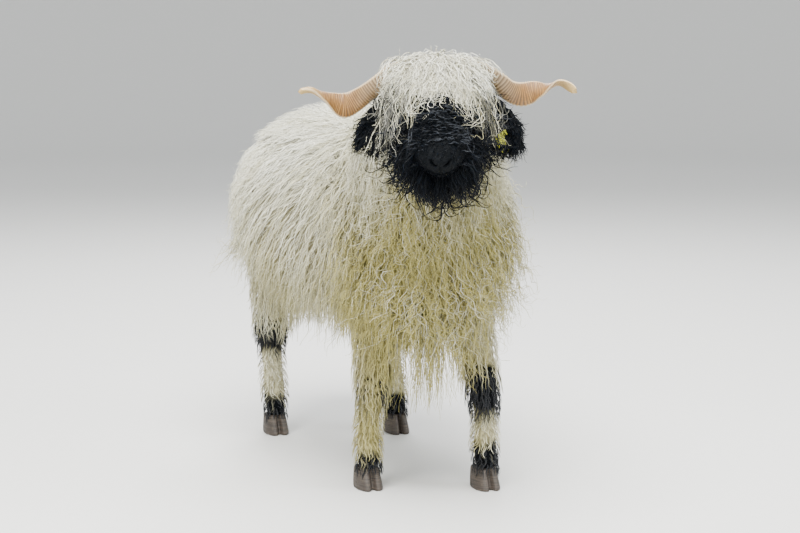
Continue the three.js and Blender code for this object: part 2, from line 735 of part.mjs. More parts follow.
// One hoof of two claws, joined at the heel, flat on the ground.
const CLAW = { length: 66, width: 27, cleft: 3, slope: 15 };
const CLAW_OUTLINE = [
  [0, 0.5],
  [0, -0.25],
  [0.28, -0.5],
  [0.72, -0.38],
  [1, 0],
  [0.95, 0.38],
  [0.6, 0.52],
];
const HEEL = { length: 20, height: 24, back: 20, clear: 4 };
function hoofShape(name, grow) {
  const { x, y } = FEET[name];
  const back = y - 4;
  const claws = [-1, 1].map((s) => {
    const ring = (z, shrink, shift) =>
      CLAW_OUTLINE.map(([across, along]) =>
        v3(
          x + s * (CLAW.cleft / 2 + across * CLAW.width * shrink + (across > 0.5 ? grow : -grow)),
          back + shift + along * CLAW.length * shrink + Math.sign(along) * grow,
          z,
        ),
      );
    const rings = [
      ring(-grow, 1, 0),
      ring(HOOF_HEIGHT * 0.5, 0.95, CLAW.slope * 0.5),
      ring(HOOF_HEIGHT + grow, 0.8, CLAW.slope),
    ];
    const centre = (z, shift) => v3(x + (s * CLAW.width) / 2, back + shift, z);
    return solid(loftRings(rings, centre(-grow, 0), centre(HOOF_HEIGHT + 3 + grow, CLAW.slope)));
  });
  const size = [CLAW.width, HEEL.length, HEEL.height].map((s) => s + 2 * grow);
  const heelUp = HEEL.height / 2 + HEEL.clear;
  const heel = solid(new THREE.BoxGeometry(...size)).translate(x, back + HEEL.back, heelUp);
  return join(claws, heel);
}

// Wool hangs down each leg in tiers.
const LEG_TIERS = { front: [0.4, 0.58, 0.76], hind: [0.48, 0.64, 0.8] };
const LEG_LOCK = { length: 88, width: 24, thick: 12, sink: 9, steps: 3, rise: 5, lift: 3 };
const LOCKS_ROUND_LEG = 3;
function legShape(name, grow) {
  const limb = legs[name];
  seed = 53;
  const locks = LEG_TIERS[name.split("_")[0]].flatMap((share, tier) =>
    [...Array(LOCKS_ROUND_LEG).keys()].map((k) =>
      rooted(limb, evenly(limb, share), (360 / LOCKS_ROUND_LEG) * (k + 0.5 * (tier % 2)) + 20, DOWN, {
        ...LEG_LOCK,
        length: LEG_LOCK.length * vary(0.12),
        width: LEG_LOCK.width * vary(0.1),
        turn: 6 * random(),
        grow,
      }),
    ),
  );
  return join(limb.shape(CORE, 10, 7, grow), locks);
}

const TAIL_SHARES = [0.22, 0.5, 0.78];
const TAIL_TURNS = [25, 90, 155];
const TAIL_LOCK = { length: 118, width: 23, thick: 12, sink: 9, steps: 3, rise: 8, lift: 4 };
function tailShape(grow) {
  seed = 61;
  const locks = TAIL_SHARES.flatMap((share) =>
    TAIL_TURNS.map((degrees) =>
      rooted(tail, evenly(tail, share), degrees, DOWN, {
        ...TAIL_LOCK,
        length: TAIL_LOCK.length * vary(0.12),
        turn: 6 * random(),
        grow,
      }),
    ),
  );
  return join(tail.shape(CORE, 8, 8, grow), locks);
}

const FLEECE_LOOK = new THREE.MeshStandardMaterial({ color: "#e6dfc8", roughness: 0.95, metalness: 0 });
const BLACK_WOOL = new THREE.MeshStandardMaterial({ color: "#17161a", roughness: 0.9, metalness: 0 });
const HORN = new THREE.MeshStandardMaterial({ color: "#c79a6b", roughness: 0.6, metalness: 0 });
const HOOF = new THREE.MeshStandardMaterial({ color: "#2b2622", roughness: 0.6, metalness: 0 });
const EYEBALL = new THREE.MeshStandardMaterial({ color: "#3a2a18", roughness: 0.1, metalness: 0 });
const TAG_PLASTIC = new THREE.MeshStandardMaterial({ color: "#d9cf1e", roughness: 0.5, metalness: 0 });

// Every node in order: where two meet, the later one is cut clear of the earlier one.
const nodes = [];
for (const [side, sign, horn, ear] of [
  ["left", 1, HORN_LEFT, EAR_LEFT],
  ["right", -1, HORN_RIGHT, EAR_RIGHT],
]) {
  nodes.push([`eye_${side}`, EYEBALL, (grow) => eyeShape(sign, grow)]);
  nodes.push([`horn_${side}`, HORN, (grow) => hornShape(horn, sign, grow)]);
  if (sign > 0) nodes.push(["ear_tag", TAG_PLASTIC, tagShape]);
  nodes.push([`ear_${side}`, BLACK_WOOL, (grow) => earShape(ear, sign, grow)]);
}
nodes.push(["head", BLACK_WOOL, headShape]);
nodes.push(["neck", FLEECE_LOOK, (grow) => join(neck.shape(CORE, 7, 12, grow), neckLocks(grow))]);
nodes.push(["torso", FLEECE_LOOK, (grow) => join(trunk.shape(CORE, 10, 12, grow), trunkLocks(grow))]);
nodes.push(["tail", FLEECE_LOOK, tailShape]);
for (const name of Object.keys(FEET)) {
  nodes.push([`hoof_${name}`, HOOF, (grow) => hoofShape(name, grow)]);
  nodes.push([`leg_${name}`, FLEECE_LOOK, (grow) => legShape(name, grow)]);
}

// Draws the two ends of every edge shorter than SHORTEST_EDGE together, where the surface stays closed.
function closeUp({ vertProperties, triVerts }) {
  const spot = (i) => new THREE.Vector3().fromArray(vertProperties, 3 * i);
  const faces = Array.from({ length: triVerts.length / 3 }, (_, i) => [...triVerts.slice(3 * i, 3 * i + 3)]);
  const around = Array.from({ length: vertProperties.length / 3 }, () => new Set());
  faces.forEach((face, f) => face.forEach((v) => around[v].add(f)));
  const ring = (v) => new Set([...around[v]].flatMap((f) => faces[f]).filter((w) => w !== v));
  const area = (face) => {
    const [a, b, c] = face.map(spot);
    return b.sub(a).cross(c.sub(a));
  };
  const collapse = (keep, drop) => {
    const shared = [...ring(keep)].filter((v) => ring(drop).has(v));
    if (shared.length !== 2) return false;
    const moved = [...around[drop]].filter((f) => !faces[f].includes(keep));
    const turned = (f) => faces[f].map((v) => (v === drop ? keep : v));
    const tiny = SHORTEST_EDGE ** 2;
    const flips = (f) => area(faces[f]).length() > tiny && area(faces[f]).dot(area(turned(f))) <= 0;
    if (moved.some(flips)) return false;
    for (const f of [...around[drop]]) {
      faces[f].forEach((v) => around[v].delete(f));
      faces[f] = moved.includes(f) ? turned(f) : null;
      faces[f]?.forEach((v) => around[v].add(f));
    }
    return true;
  };
  const short = (a, b) => spot(a).distanceTo(spot(b)) < SHORTEST_EDGE;
  for (let f = 0; f < faces.length; f++) {
    for (const [i, j] of [[0, 1], [1, 2], [2, 0]]) {
      if (!faces[f] || !short(faces[f][i], faces[f][j])) continue;
      if (!collapse(faces[f][i], faces[f][j])) collapse(faces[f][j], faces[f][i]);
    }
  }
  return faces.filter(Boolean).flat();
}

// The largest closed surface of a solid.
function largest(made) {
  return made.decompose().reduce((best, piece) => (piece.volume() > best.volume() ? piece : best));
}

const sheep = new THREE.Group();
const taken = [];
for (const [name, material, shape] of nodes) {
  const closed = largest(taken.reduce((left, cutter) => left.subtract(cutter), shape(0))).getMesh();
  taken.push(shape(GAP));
  const geometry = new THREE.BufferGeometry();
  geometry.setAttribute("position", new THREE.BufferAttribute(new Float32Array(closed.vertProperties), 3));
  geometry.setIndex(closeUp(closed));
  geometry.computeVertexNormals();
  const mesh = new THREE.Mesh(geometry, material);
  mesh.name = name;
  sheep.add(mesh);
}

const box = new THREE.Box3().setFromObject(sheep);
const centre = box.getCenter(v3(0, 0, 0));
sheep.position.set(-centre.x, -centre.y, -box.min.z);
export default sheep;
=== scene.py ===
import json
import math

import bpy
import numpy as np
from mathutils import Matrix, Vector

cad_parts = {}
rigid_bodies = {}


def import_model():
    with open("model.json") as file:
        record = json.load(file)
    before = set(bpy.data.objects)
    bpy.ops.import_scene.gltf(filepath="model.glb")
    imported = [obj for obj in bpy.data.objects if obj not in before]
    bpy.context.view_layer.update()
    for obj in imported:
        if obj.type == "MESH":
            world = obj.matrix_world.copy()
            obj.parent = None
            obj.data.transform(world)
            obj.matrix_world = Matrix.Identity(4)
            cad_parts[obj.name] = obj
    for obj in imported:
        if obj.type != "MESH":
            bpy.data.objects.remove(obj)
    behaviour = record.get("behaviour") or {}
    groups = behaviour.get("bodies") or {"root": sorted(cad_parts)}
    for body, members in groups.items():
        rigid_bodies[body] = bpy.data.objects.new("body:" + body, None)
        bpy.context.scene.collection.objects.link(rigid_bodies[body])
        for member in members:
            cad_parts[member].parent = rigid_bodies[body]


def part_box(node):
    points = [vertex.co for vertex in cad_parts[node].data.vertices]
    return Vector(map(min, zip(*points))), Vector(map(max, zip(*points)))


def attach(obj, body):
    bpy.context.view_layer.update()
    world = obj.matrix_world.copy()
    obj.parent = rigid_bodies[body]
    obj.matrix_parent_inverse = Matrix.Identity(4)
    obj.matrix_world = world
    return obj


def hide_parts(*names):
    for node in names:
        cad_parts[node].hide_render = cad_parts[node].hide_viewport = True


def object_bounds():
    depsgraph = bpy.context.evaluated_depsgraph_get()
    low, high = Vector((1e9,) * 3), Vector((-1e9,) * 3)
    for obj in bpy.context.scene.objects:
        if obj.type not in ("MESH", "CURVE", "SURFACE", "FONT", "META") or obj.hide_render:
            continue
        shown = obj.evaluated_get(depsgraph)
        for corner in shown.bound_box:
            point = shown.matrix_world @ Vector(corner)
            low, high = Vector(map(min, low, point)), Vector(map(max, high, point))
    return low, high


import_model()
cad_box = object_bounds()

# Everything is modelled in millimetres in the animal's own frame, and mesh_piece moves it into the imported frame.
# The animal looks along -y, its left is +x, and it stands on z = 0.
rng = np.random.default_rng(11)
DENSITY = 1.0  # the share of the tufts that grow
TURN = 2 * math.pi
UP = np.array([0.0, 0.0, 1.0])
BACK = np.array([0.0, 1.0, 0.0])
DOWN = -UP
SIGN = {"left": 1, "right": -1}

BACK_HEIGHT = 722
KNEE_HEIGHT = 215
HOCK_HEIGHT = 240
HOOF_FRONT = 37  # how far a hoof reaches ahead of its foot's place
BELLY_COAT = 40
HEAD_YAW = -20
HEAD_PITCH = 30
POLL = (-53, -286, 833)
EYE_RADIUS = 14.5
EYE_PLACE = (57, -66, 20)
# The skin's level in the coat, where 0 is the bare body and 1 the outline of the wool.
SKIN, FACE_SKIN, CROWN_SKIN, LEG_SKIN, TAIL_SKIN = 0.4, 0.12, 0.34, 0.25, 0.3
WOOL_REACH = 0.012  # the wool ends less than this far, in metres, outside the box of the solids
FLOOR_GAP = 2.0  # and this far, in millimetres, over the floor
ROOT_DEPTH = 4  # tufts start this far under the skin
CLEAR_RADIUS = 0.97  # roots inside this radius of a hidden limb, 1 on its skin, are left out
AT_ONCE = 2000  # the number of tufts that are compared with all guides in one step
EAR_START = 78  # the head's skin belongs to the ears from here sideways
EYE_GAP = 3  # no face wool is rooted within this of the eye's middle, along the head
MARK_BLUR = 8  # how far a tuft may be off the place that its marking is read from
# How much neighbouring tufts differ, as shares of their length, half width and swing.
LENGTHS, WIDTHS, SWINGS = (0.82, 1.12), (0.7, 1.25), (0.6, 1.3)
FACE_VOXEL, BODY_VOXEL, HOOF_VOXEL = 2.2, 10.5, 2.3


def unit(v):
    return v / np.maximum(np.linalg.norm(v, axis=-1, keepdims=True), 1e-9)


def smooth(low, high, x):
    t = np.clip((x - low) / (high - low), 0, 1)
    return t * t * (3 - 2 * t)


def mix(a, b, t):
    return a + (b - a) * t


def columns(*parts):
    """One array with the parts, numbers or arrays, in its last axis."""
    return np.stack(np.broadcast_arrays(*parts), -1)


def circle(sides):
    return np.linspace(0, TURN, sides, endpoint=False)


def cos_sin(degrees):
    return np.cos(np.radians(degrees)), np.sin(np.radians(degrees))


def catmull(a, b, c, d, f):
    """Catmull-Rom from b to c, at f from 0 to 1."""
    return b + 0.5 * f * (c - a + f * (2 * a - 5 * b + 4 * c - d + f * (3 * (b - c) + d - a)))


def blend_rows(rows, t):
    """A smooth curve through rows of numbers, at places t from 0 to 1."""
    rows = np.asarray(rows, float)
    place = np.clip(t, 0, 1) * (len(rows) - 1)
    i = np.minimum(place.astype(int), len(rows) - 2)
    near = (rows[np.clip(i + k, 0, len(rows) - 1)] for k in (-1, 0, 1, 2))
    return catmull(*near, (place - i)[..., None])


class Limb:
    """A chain of oval sections. A row is x, y, z, the body's reach sideways, up and down, and the wool's depth."""

    SAMPLES = 81
    CORE = 0.05  # points nearer to the middle than this share of the radius aren't pushed out
    NEAR = 0.3  # points less than this share of the radius over their clearance count as near

    def __init__(self, rows, upward, caps, level=SKIN, tile="head"):
        self.rows, self.upward = np.array(rows, float), np.array(upward, float)
        self.caps, self.level, self.tile = caps, level, tile
        self.t = np.linspace(0, 1, self.SAMPLES)
        self.middles = self.section(self.t)[0]
        self.length = np.linalg.norm(np.diff(self.middles, axis=0), axis=1).sum()

    def level_at(self, t):
        return self.level(t) if callable(self.level) else self.level

    def section(self, t):
        t = np.clip(t, 0, 1)
        level = self.level_at(t)
        row = blend_rows(self.rows, t)
        step = 0.01
        along = unit((blend_rows(self.rows, t + step) - blend_rows(self.rows, t - step))[..., :3])
        across = unit(np.cross(along, self.upward))
        side, up, down = (row[..., 3 + k] + level * row[..., 6 + k] for k in range(3))
        return row[..., :3], along, across, np.cross(across, along), side, up, down

    def spot(self, t, degrees):
        """A point of the skin and the way out. Beyond 0 and 1, t runs over the round ends."""
        t = np.asarray(t, float)
        over = np.clip(np.maximum(-t, t - 1), 0, 0.999)
        end = np.where(t < 0, -1.0, 1.0)
        cap = np.where(t < 0, *self.caps)
        middle, along, across, rise, side, up, down = self.section(t)
        c, n = cos_sin(degrees)
        height = np.where(n >= 0, up, down)
        shrink = np.sqrt(1 - over**2)
        ring = across * (side * c)[..., None] + rise * (height * n)[..., None]
        point = middle + along * (end * cap * over)[..., None] + ring * shrink[..., None]
        out = across * (c / side * shrink)[..., None] + rise * (n / height * shrink)[..., None]
        return point, unit(out + along * (end * over / cap)[..., None])

    def place(self, points):
        """Where points lie: their radius, 1 on the skin, the way out, the middle there, t and degrees."""
        near = np.argmin(((points[:, None, :] - self.middles[None]) ** 2).sum(-1), axis=1)
        along = self.section(self.t[near])[1]
        t = self.t[near] + (along * (points - self.middles[near])).sum(-1) / self.length
        middle, along, across, rise, side, up, down = self.section(np.clip(t, 0, 1))
        away = points - middle
        a, b, w = ((away * v).sum(-1) for v in (across, rise, along))
        w = np.where((t < 0) | (t > 1), w, 0)
        cap = np.where(t < 0, *self.caps)
        height = np.where(b >= 0, up, down)
        r = np.sqrt((a / side) ** 2 + (b / height) ** 2 + (w / cap) ** 2)
        out = across * (a / side**2)[:, None] + rise * (b / height**2)[:, None] + along * (w / cap**2)[:, None]
        return r, unit(out), middle, np.clip(t, 0, 1), np.degrees(np.arctan2(b, a))

    def push(self, points, clearance):
        """Moves points out of the limb to a clearance over it, and returns the way out where they are near."""
        r, out, middle, _, _ = self.place(points)
        away = points - middle
        wanted = 1 + clearance * r / np.maximum(np.linalg.norm(away, axis=1), 1)
        inside = (r < wanted) & (r > self.CORE)
        pushed = np.where(inside[:, None], middle + away * (wanted / np.maximum(r, self.CORE))[:, None], points)
        return pushed, out, r < wanted + self.NEAR


# The body, as chains of sections. The head has a level frame for the horns and ears, and a tilted one for the face.
# Rows of the trunk and head leave out x. Those of the head are in its tilted frame, and those of a leg start at its
# foot, with x outward.
def head_matrix(pitch):
    turn = Matrix.Translation(POLL) @ Matrix.Rotation(math.radians(HEAD_YAW), 4, "Z")
    return np.array(turn @ Matrix.Rotation(math.radians(pitch), 4, "X"))


LEVEL_HEAD, TILTED_HEAD = head_matrix(0), head_matrix(HEAD_PITCH)


def moved(points, matrix):
    return np.asarray(points, float) @ matrix[:3, :3].T + matrix[:3, 3]


def turned(vectors, matrix):
    return np.asarray(vectors, float) @ matrix[:3, :3].T


def head_local(points):
    return (points - TILTED_HEAD[:3, 3]) @ TILTED_HEAD[:3, :3]


TRUNK_ROWS = [
    (-175, 545, 62, 70, 78, 48, 40, 60),
    (-115, 550, 118, 130, 142, 50, 50, 56),
    (-30, 555, 148, BACK_HEIGHT - 555, 170, 55, 60, BELLY_COAT),
    (110, 552, 165, BACK_HEIGHT - 552, 172, 78, 64, BELLY_COAT),
    (290, 550, 180, 168, 172, 90, 64, BELLY_COAT),
    (440, 556, 172, 160, 158, 88, 64, BELLY_COAT),
    (560, 566, 152, 146, 140, 80, 62, BELLY_COAT),
    (640, 566, 118, 118, 118, 70, 56, 50),
    (695, 560, 62, 66, 72, 52, 45, 50),
]
NECK_ROWS = [
    (-50, -262, 812, 60, 62, 70, 48, 26, 30),
    (-44, -220, 782, 62, 66, 84, 64, 45, 60),
    (-30, -150, 728, 74, 78, 108, 74, 55, 80),
    (-12, -70, 664, 100, 92, 130, 66, 60, 90),
    (0, 10, 604, 115, 100, 140, 40, 40, 50),
]
HEAD_ROWS = [
    (-238, -2, 26, 18, 24, 6, 6, 10),
    (-222, 0, 38, 32, 38, 16, 8, 22),
    (-195, 2, 43, 38, 45, 34, 12, 36),
    (-150, 2, 44, 42, 52, 44, 14, 44),
    (-100, 0, 54, 52, 66, 42, 20, 46),
    (-55, -2, 66, 60, 74, 38, 34, 44),
    (0, 0, 66, 62, 70, 42, 34, 40),
    (38, -6, 48, 46, 52, 42, 30, 40),
]
FRONT_ROWS = [
    (-22, 20, 470, 42, 56, 52, 20, 20, 20),
    (-20, 22, 400, 38, 46, 40, 24, 24, 24),
    (-12, 8, 310, 27, 33, 28, 30, 30, 30),
    (-4, -4, KNEE_HEIGHT, 25, 24, 28, 18, 18, 16),
    (0, 2, 150, 16, 18, 16, 24, 26, 22),
    (0, 4, 95, 20, 22, 19, 18, 20, 16),
    (0, -1, 44, 20, 21, 19, 12, 13, 10),
]
HIND_ROWS = [
    (-30, 10, 540, 58, 88, 92, 30, 30, 30),
    (-16, 0, 450, 54, 84, 86, 44, 44, 36),
    (-8, -2, 365, 42, 60, 56, 42, 46, 38),
    (-2, 34, 285, 27, 35, 30, 32, 34, 30),
    (0, 46, HOCK_HEIGHT, 24, 29, 24, 20, 22, 18),
    (0, 32, 165, 18, 20, 18, 24, 26, 22),
    (0, 16, 100, 21, 22, 20, 18, 20, 16),
    (0, 4, 44, 20, 21, 20, 12, 13, 10),
]
TAIL_ROWS = [
    (0, 672, 640, 24, 22, 26, 26, 22, 26),
    (0, 720, 610, 22, 22, 22, 34, 30, 28),
    (0, 752, 530, 18, 18, 18, 38, 34, 26),
    (0, 758, 430, 15, 15, 15, 38, 34, 30),
    (0, 752, 345, 12, 12, 12, 32, 30, 26),
    (0, 748, 300, 8, 8, 8, 20, 18, 16),
]
FEET = {"front_right": (-100, -12), "front_left": (130, -95), "hind_right": (-132, 560), "hind_left": (138, 472)}
STRAIGHT = {"front": -30, "hind": 540}  # where a foot stands under its straight leg


def leg_limb(name):
    x, y = FEET[name]
    rows = FRONT_ROWS if name.startswith("front") else HIND_ROWS
    stride = y - STRAIGHT[name.split("_")[0]]
    top = rows[0][2]
    placed = [(x + np.sign(x) * dx, y + dy - stride * (z / top) ** 2, z, *rest) for dx, dy, z, *rest in rows]
    return Limb(placed, BACK, (8, 4), LEG_SKIN, name)


def head_level(t):
    return mix(FACE_SKIN, CROWN_SKIN, smooth(0.66, 0.86, t))


trunk = Limb([(0, *row) for row in TRUNK_ROWS], UP, (30, 30), tile="trunk")
neck = Limb(NECK_ROWS, UP, (20, 20), tile="neck")
head_rows = [(*moved((0, y, z), TILTED_HEAD), *rest) for y, z, *rest in HEAD_ROWS]
head = Limb(head_rows, turned(UP, TILTED_HEAD), (10, 18), head_level)
legs = {name: leg_limb(name) for name in FEET}
every_leg = tuple(legs.values())
tail = Limb(TAIL_ROWS, BACK, (10, 14), TAIL_SKIN, "tail")

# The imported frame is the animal's own frame, moved by the same step everywhere. A hoof shows the step.
low, high = np.array(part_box("hoof_front_right"))
foot = np.array(FEET["front_right"]) / 1000
SHIFT = np.array([(low[0] + high[0]) / 2 - foot[0], low[1] + HOOF_FRONT / 1000 - foot[1], low[2]])
wool_low, wool_high = [(np.array(c) + side * WOOL_REACH - SHIFT) * 1000 for c, side in zip(cad_box, (-1, 1))]


# Markings, and the yellow with painted shade low on the body, the same at a root of wool and on the skin under it.
def wobble(points, scale, seed):
    """A smooth noise from -1 to 1 of places in millimetres."""
    draw = np.random.default_rng(seed)
    total = np.zeros(len(points))
    for _ in range(5):
        way = draw.normal(size=3)
        stretch = points @ way / np.linalg.norm(way) * (TURN / scale)
        total += np.sin(stretch * draw.uniform(0.7, 1.5) + draw.uniform(0, 6))
    return total / 3


def black_at(points):
    """From 0, white, to 1, black: face and ears, knees and hocks, feet, and a patch round the tail's root."""
    edge = 9 * wobble(points, 55, 3)
    x, y, z = head_local(points).T
    angle = np.degrees(np.arctan2(z, np.abs(x)))
    # The black of the face ends at a y that depends on the angle round the head, and goes on to the ears.
    border = np.where(angle > 0, mix(16, -88, smooth(8, 62, angle)), mix(16, -8, smooth(0, 80, -angle)))
    near_head = (np.abs(x) < 135) & (np.abs(z) < 130)
    black = np.where(near_head, 1 - smooth(-7, 7, y - border + edge), 0)
    for name, limb in legs.items():
        front = name.startswith("front")
        joint = KNEE_HEIGHT if front else HOCK_HEIGHT
        offset = points - limb.middles[np.argmin(np.abs(limb.middles[:, 2] - joint))]
        near = np.linalg.norm(offset[:, :2], axis=1) < 110
        facing = -offset[:, 1] if front else offset[:, 1] * 0.4 + np.abs(offset[:, 0]) * 0.4
        sparse = name == "front_right"  # the near front knee has only a few dark tufts
        reach, rise, sock = (20, 6, 74) if sparse else (44, 0, 96)
        band = 1 - smooth(-8, 8, np.abs(offset[:, 2] - rise) - reach - 0.35 * facing + edge)
        if sparse:
            band = band * smooth(-0.2, 0.3, wobble(points, 26, 9)) * smooth(4, 14, -offset[:, 1])
        foot = 1 - smooth(-8, 10, points[:, 2] - sock + edge)
        black = np.maximum(black, np.where(near, np.maximum(band, foot), 0))
    patch = np.linalg.norm((points - (0, 745, 590)) / (62, 60, 72), axis=1)
    return np.maximum(black, 1 - smooth(0.85, 1.1, patch + 0.022 * edge))


def yellow_and_shade_at(points):
    """From 0, white, on the back and crown, to 1, yellow beige, low on the chest and belly: partly the wool's own
    yellow, partly painted shade that darkens it towards the bottom.
    """
    x, y, z = points.T
    low_down = smooth(760, 400, z) * mix(0.72, 1, smooth(300, 440, z))
    chest = smooth(120, -170, y) * smooth(880, 680, z) * smooth(190, 60, np.abs(x + 25))
    return np.clip(0.02 + 0.74 * low_down + 0.6 * chest + 0.12 * wobble(points, 160, 5), 0, 1)


# Meshes.
def new_object(name, data):
    obj = bpy.data.objects.new(name, data)
    bpy.context.scene.collection.objects.link(obj)
    return obj


def mesh_piece(name, points, faces, material, marks=None, fiber=None, uv=None):
    """A smooth mesh piece from points in the animal's frame and arrays of triangles or quads."""
    me = bpy.data.meshes.new(name)
    points = np.asarray(points, float) / 1000 + SHIFT
    faces = [np.asarray(f) for f in faces if len(f)]
    loops = np.concatenate([f.ravel() for f in faces])
    sizes = np.concatenate([np.full(len(f), f.shape[1]) for f in faces])
    me.vertices.add(len(points))
    me.vertices.foreach_set("co", points.astype(np.float32).ravel())
    me.loops.add(len(loops))
    me.loops.foreach_set("vertex_index", loops.astype(np.int32))
    me.polygons.add(len(sizes))
    me.polygons.foreach_set("loop_start", (np.cumsum(sizes) - sizes).astype(np.int32))
    me.update(calc_edges=True)
    me.polygons.foreach_set("use_smooth", np.ones(len(sizes), bool))
    for label, values in (("marks", marks), ("fiber", fiber)):
        if values is not None:
            attribute = me.attributes.new(label, "FLOAT_VECTOR", "POINT")
            attribute.data.foreach_set("vector", np.asarray(values, np.float32).ravel())
    if uv is not None:
        layer = me.uv_layers.new(name="OFBake")
        layer.data.foreach_set("uv", uv[loops].astype(np.float32).ravel())
    me.materials.append(material)
    return new_object(name, me)


def settle(piece, slot, *solids):
    """Fixes a piece to the body, in place of the solids that it stands for. Its slot is not used."""
    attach(piece, "root")
    if solids:
        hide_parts(*solids)


def loft(rings, first=None, last=None):
    """Points and faces of a closed surface through rings of points, with flat or pointed ends."""
    count, sides = rings.shape[:2]
    i, j = np.meshgrid(np.arange(count - 1), np.arange(sides), indexing="ij")
    a, b = i * sides + j, i * sides + (j + 1) % sides
    quads = columns(a, b, b + sides, a + sides).reshape(-1, 4)
    first = rings[0].mean(0) if first is None else first
    last = rings[-1].mean(0) if last is None else last
    k = np.arange(sides)
    start = columns(count * sides, (k + 1) % sides, k)
    base = (count - 1) * sides
    end = columns(count * sides + 1, base + k, base + (k + 1) % sides)
    return np.vstack([rings.reshape(-1, 3), first, last]), quads, np.vstack([start, end])


def ball(rows, sides, gap):
    """Rings of points on a unit ball, from near +z to near -z."""
    a, b = np.linspace(gap, math.pi - gap, rows)[:, None], circle(sides)[None, :]
    return columns(np.sin(a) * np.cos(b), np.sin(a) * np.sin(b), np.cos(a))


# Materials.
class Nodes:
    def __init__(self, name):
        self.material = bpy.data.materials.new(name)
        self.material.use_nodes = True
        self.tree = self.material.node_tree
        self.shader = self.tree.nodes["Principled BSDF"]

    def add(self, kind, settings=(), **inputs):
        """A new node. Its inputs are named as in Blender, with _ for a space, or i and their number."""
        node = self.tree.nodes.new(kind)
        for key, value in dict(settings).items():
            setattr(node, key, value)
        self.fill(node, inputs)
        return node

    def fill(self, node, inputs):
        for key, value in inputs.items():
            self.set(node.inputs[int(key[1:]) if key[1:].isdigit() else key.replace("_", " ")], value)

    def set(self, socket, value):
        if isinstance(value, bpy.types.NodeSocket):
            self.tree.links.new(value, socket)
        elif socket.type == "RGBA":
            socket.default_value = (*value, 1)
        else:
            socket.default_value = value

    def finish(self, colour, rough, height, strength, distance, **inputs):
        """Feeds the shader, with bumps of a height, and returns the material."""
        bumps = self.add("ShaderNodeBump", Strength=strength, Distance=distance, Height=height).outputs[0]
        self.fill(self.shader, dict(Base_Color=colour, Roughness=rough, Normal=bumps, **inputs))
        return self.material

    def vector(self, name):
        return self.add("ShaderNodeAttribute", {"attribute_name": name}).outputs["Vector"]

    def attribute(self, name):
        return self.add("ShaderNodeSeparateXYZ", i0=self.vector(name)).outputs[:]

    def math(self, operation, a, b=0.0):
        return self.add("ShaderNodeMath", {"operation": operation}, i0=a, i1=b).outputs[0]

    def times(self, a, b):
        return self.math("MULTIPLY", a, b)

    def mix(self, a, b, factor):
        return self.add("ShaderNodeMix", {"data_type": "RGBA"}, i0=factor, i6=a, i7=b).outputs[2]

    def layers(self, colour, *layers):
        """A colour under layers, each a tint and its share."""
        for tint, share in layers:
            colour = self.mix(colour, tint, share)
        return colour

    def range(self, value, low, high, to_low=0.0, to_high=1.0):
        return self.add("ShaderNodeMapRange", i0=value, i1=low, i2=high, i3=to_low, i4=to_high).outputs[0]

    def noise(self, scale, detail, vector, **inputs):
        return self.add("ShaderNodeTexNoise", Scale=scale, Detail=detail, Vector=vector, **inputs).outputs["Fac"]

    def stretched(self, vector, scale):
        return self.add("ShaderNodeVectorMath", {"operation": "MULTIPLY"}, i0=vector, i1=scale).outputs[0]

    def objects(self):
        return self.add("ShaderNodeTexCoord").outputs["Object"]

    def grain(self, scale, detail=4):
        return self.noise(scale, detail, self.objects())

    def spread(self, grain, low, high):
        """A noise, spread from low to high."""
        return self.range(grain, 0.3, 0.7, low, high)


WHITE_WOOL = (0.97, 0.97, 0.85)
# The first is the tone of paler tufts, the second a painted highlight along the wool's fibres.
BRIGHT_WOOL, STREAK_HIGHLIGHT = (1, 0.99, 0.90), (1, 0.99, 0.92)
# The yellow beige of the wool low on the body, darkened with painted shade.
BEIGE_WOOL_AND_SHADE = (0.43, 0.38, 0.12)
# A dark yellow brown that is painted shade of the deep wool, put at the roots, between fibres, in crimps and in the
# skin's gaps.
DEEP_WOOL_SHADE = (0.17, 0.14, 0.04)
BLACK_WOOL = (0.0003, 0.0010, 0.0019)
# Dark grey black wool; its blue tint is painted sheen, the grey-blue that light reflects off black fibres.
GREY_WOOL_AND_SHEEN = (0.004, 0.009, 0.019)
PALE_HAIR = (0.72, 0.79, 0.92)


def skin_material():
    n = Nodes("skin_and_short_wool")
    black, yellow_and_shade, _ = n.attribute("marks")
    grain = n.grain(140)
    # Painted shade: dark patches of the deep wool colour on the skin, as in the gaps of the coat, fewer where the
    # wool is white.
    out_of_gap_shade = n.math("MAXIMUM", n.spread(grain, 0.3, 0.8), n.range(yellow_and_shade, 0.2, 0.8, 0.8, 0.0))
    cream = n.mix(DEEP_WOOL_SHADE, n.mix(WHITE_WOOL, BEIGE_WOOL_AND_SHADE, yellow_and_shade), out_of_gap_shade)
    # Black skin with some grey-blue, partly its own grey and partly painted sheen.
    dark = n.mix(BLACK_WOOL, GREY_WOOL_AND_SHEEN, n.range(grain, 0.55, 0.8, 0, 0.2))
    crimp = n.noise(1, 3, n.stretched(n.objects(), (130, 130, 420)), Distortion=1.2)
    rough = n.range(black, 0, 1, 0.85, 0.5)
    return n.finish(n.mix(cream, dark, black), rough, crimp, 0.6, 0.004, Specular_IOR_Level=0.07)


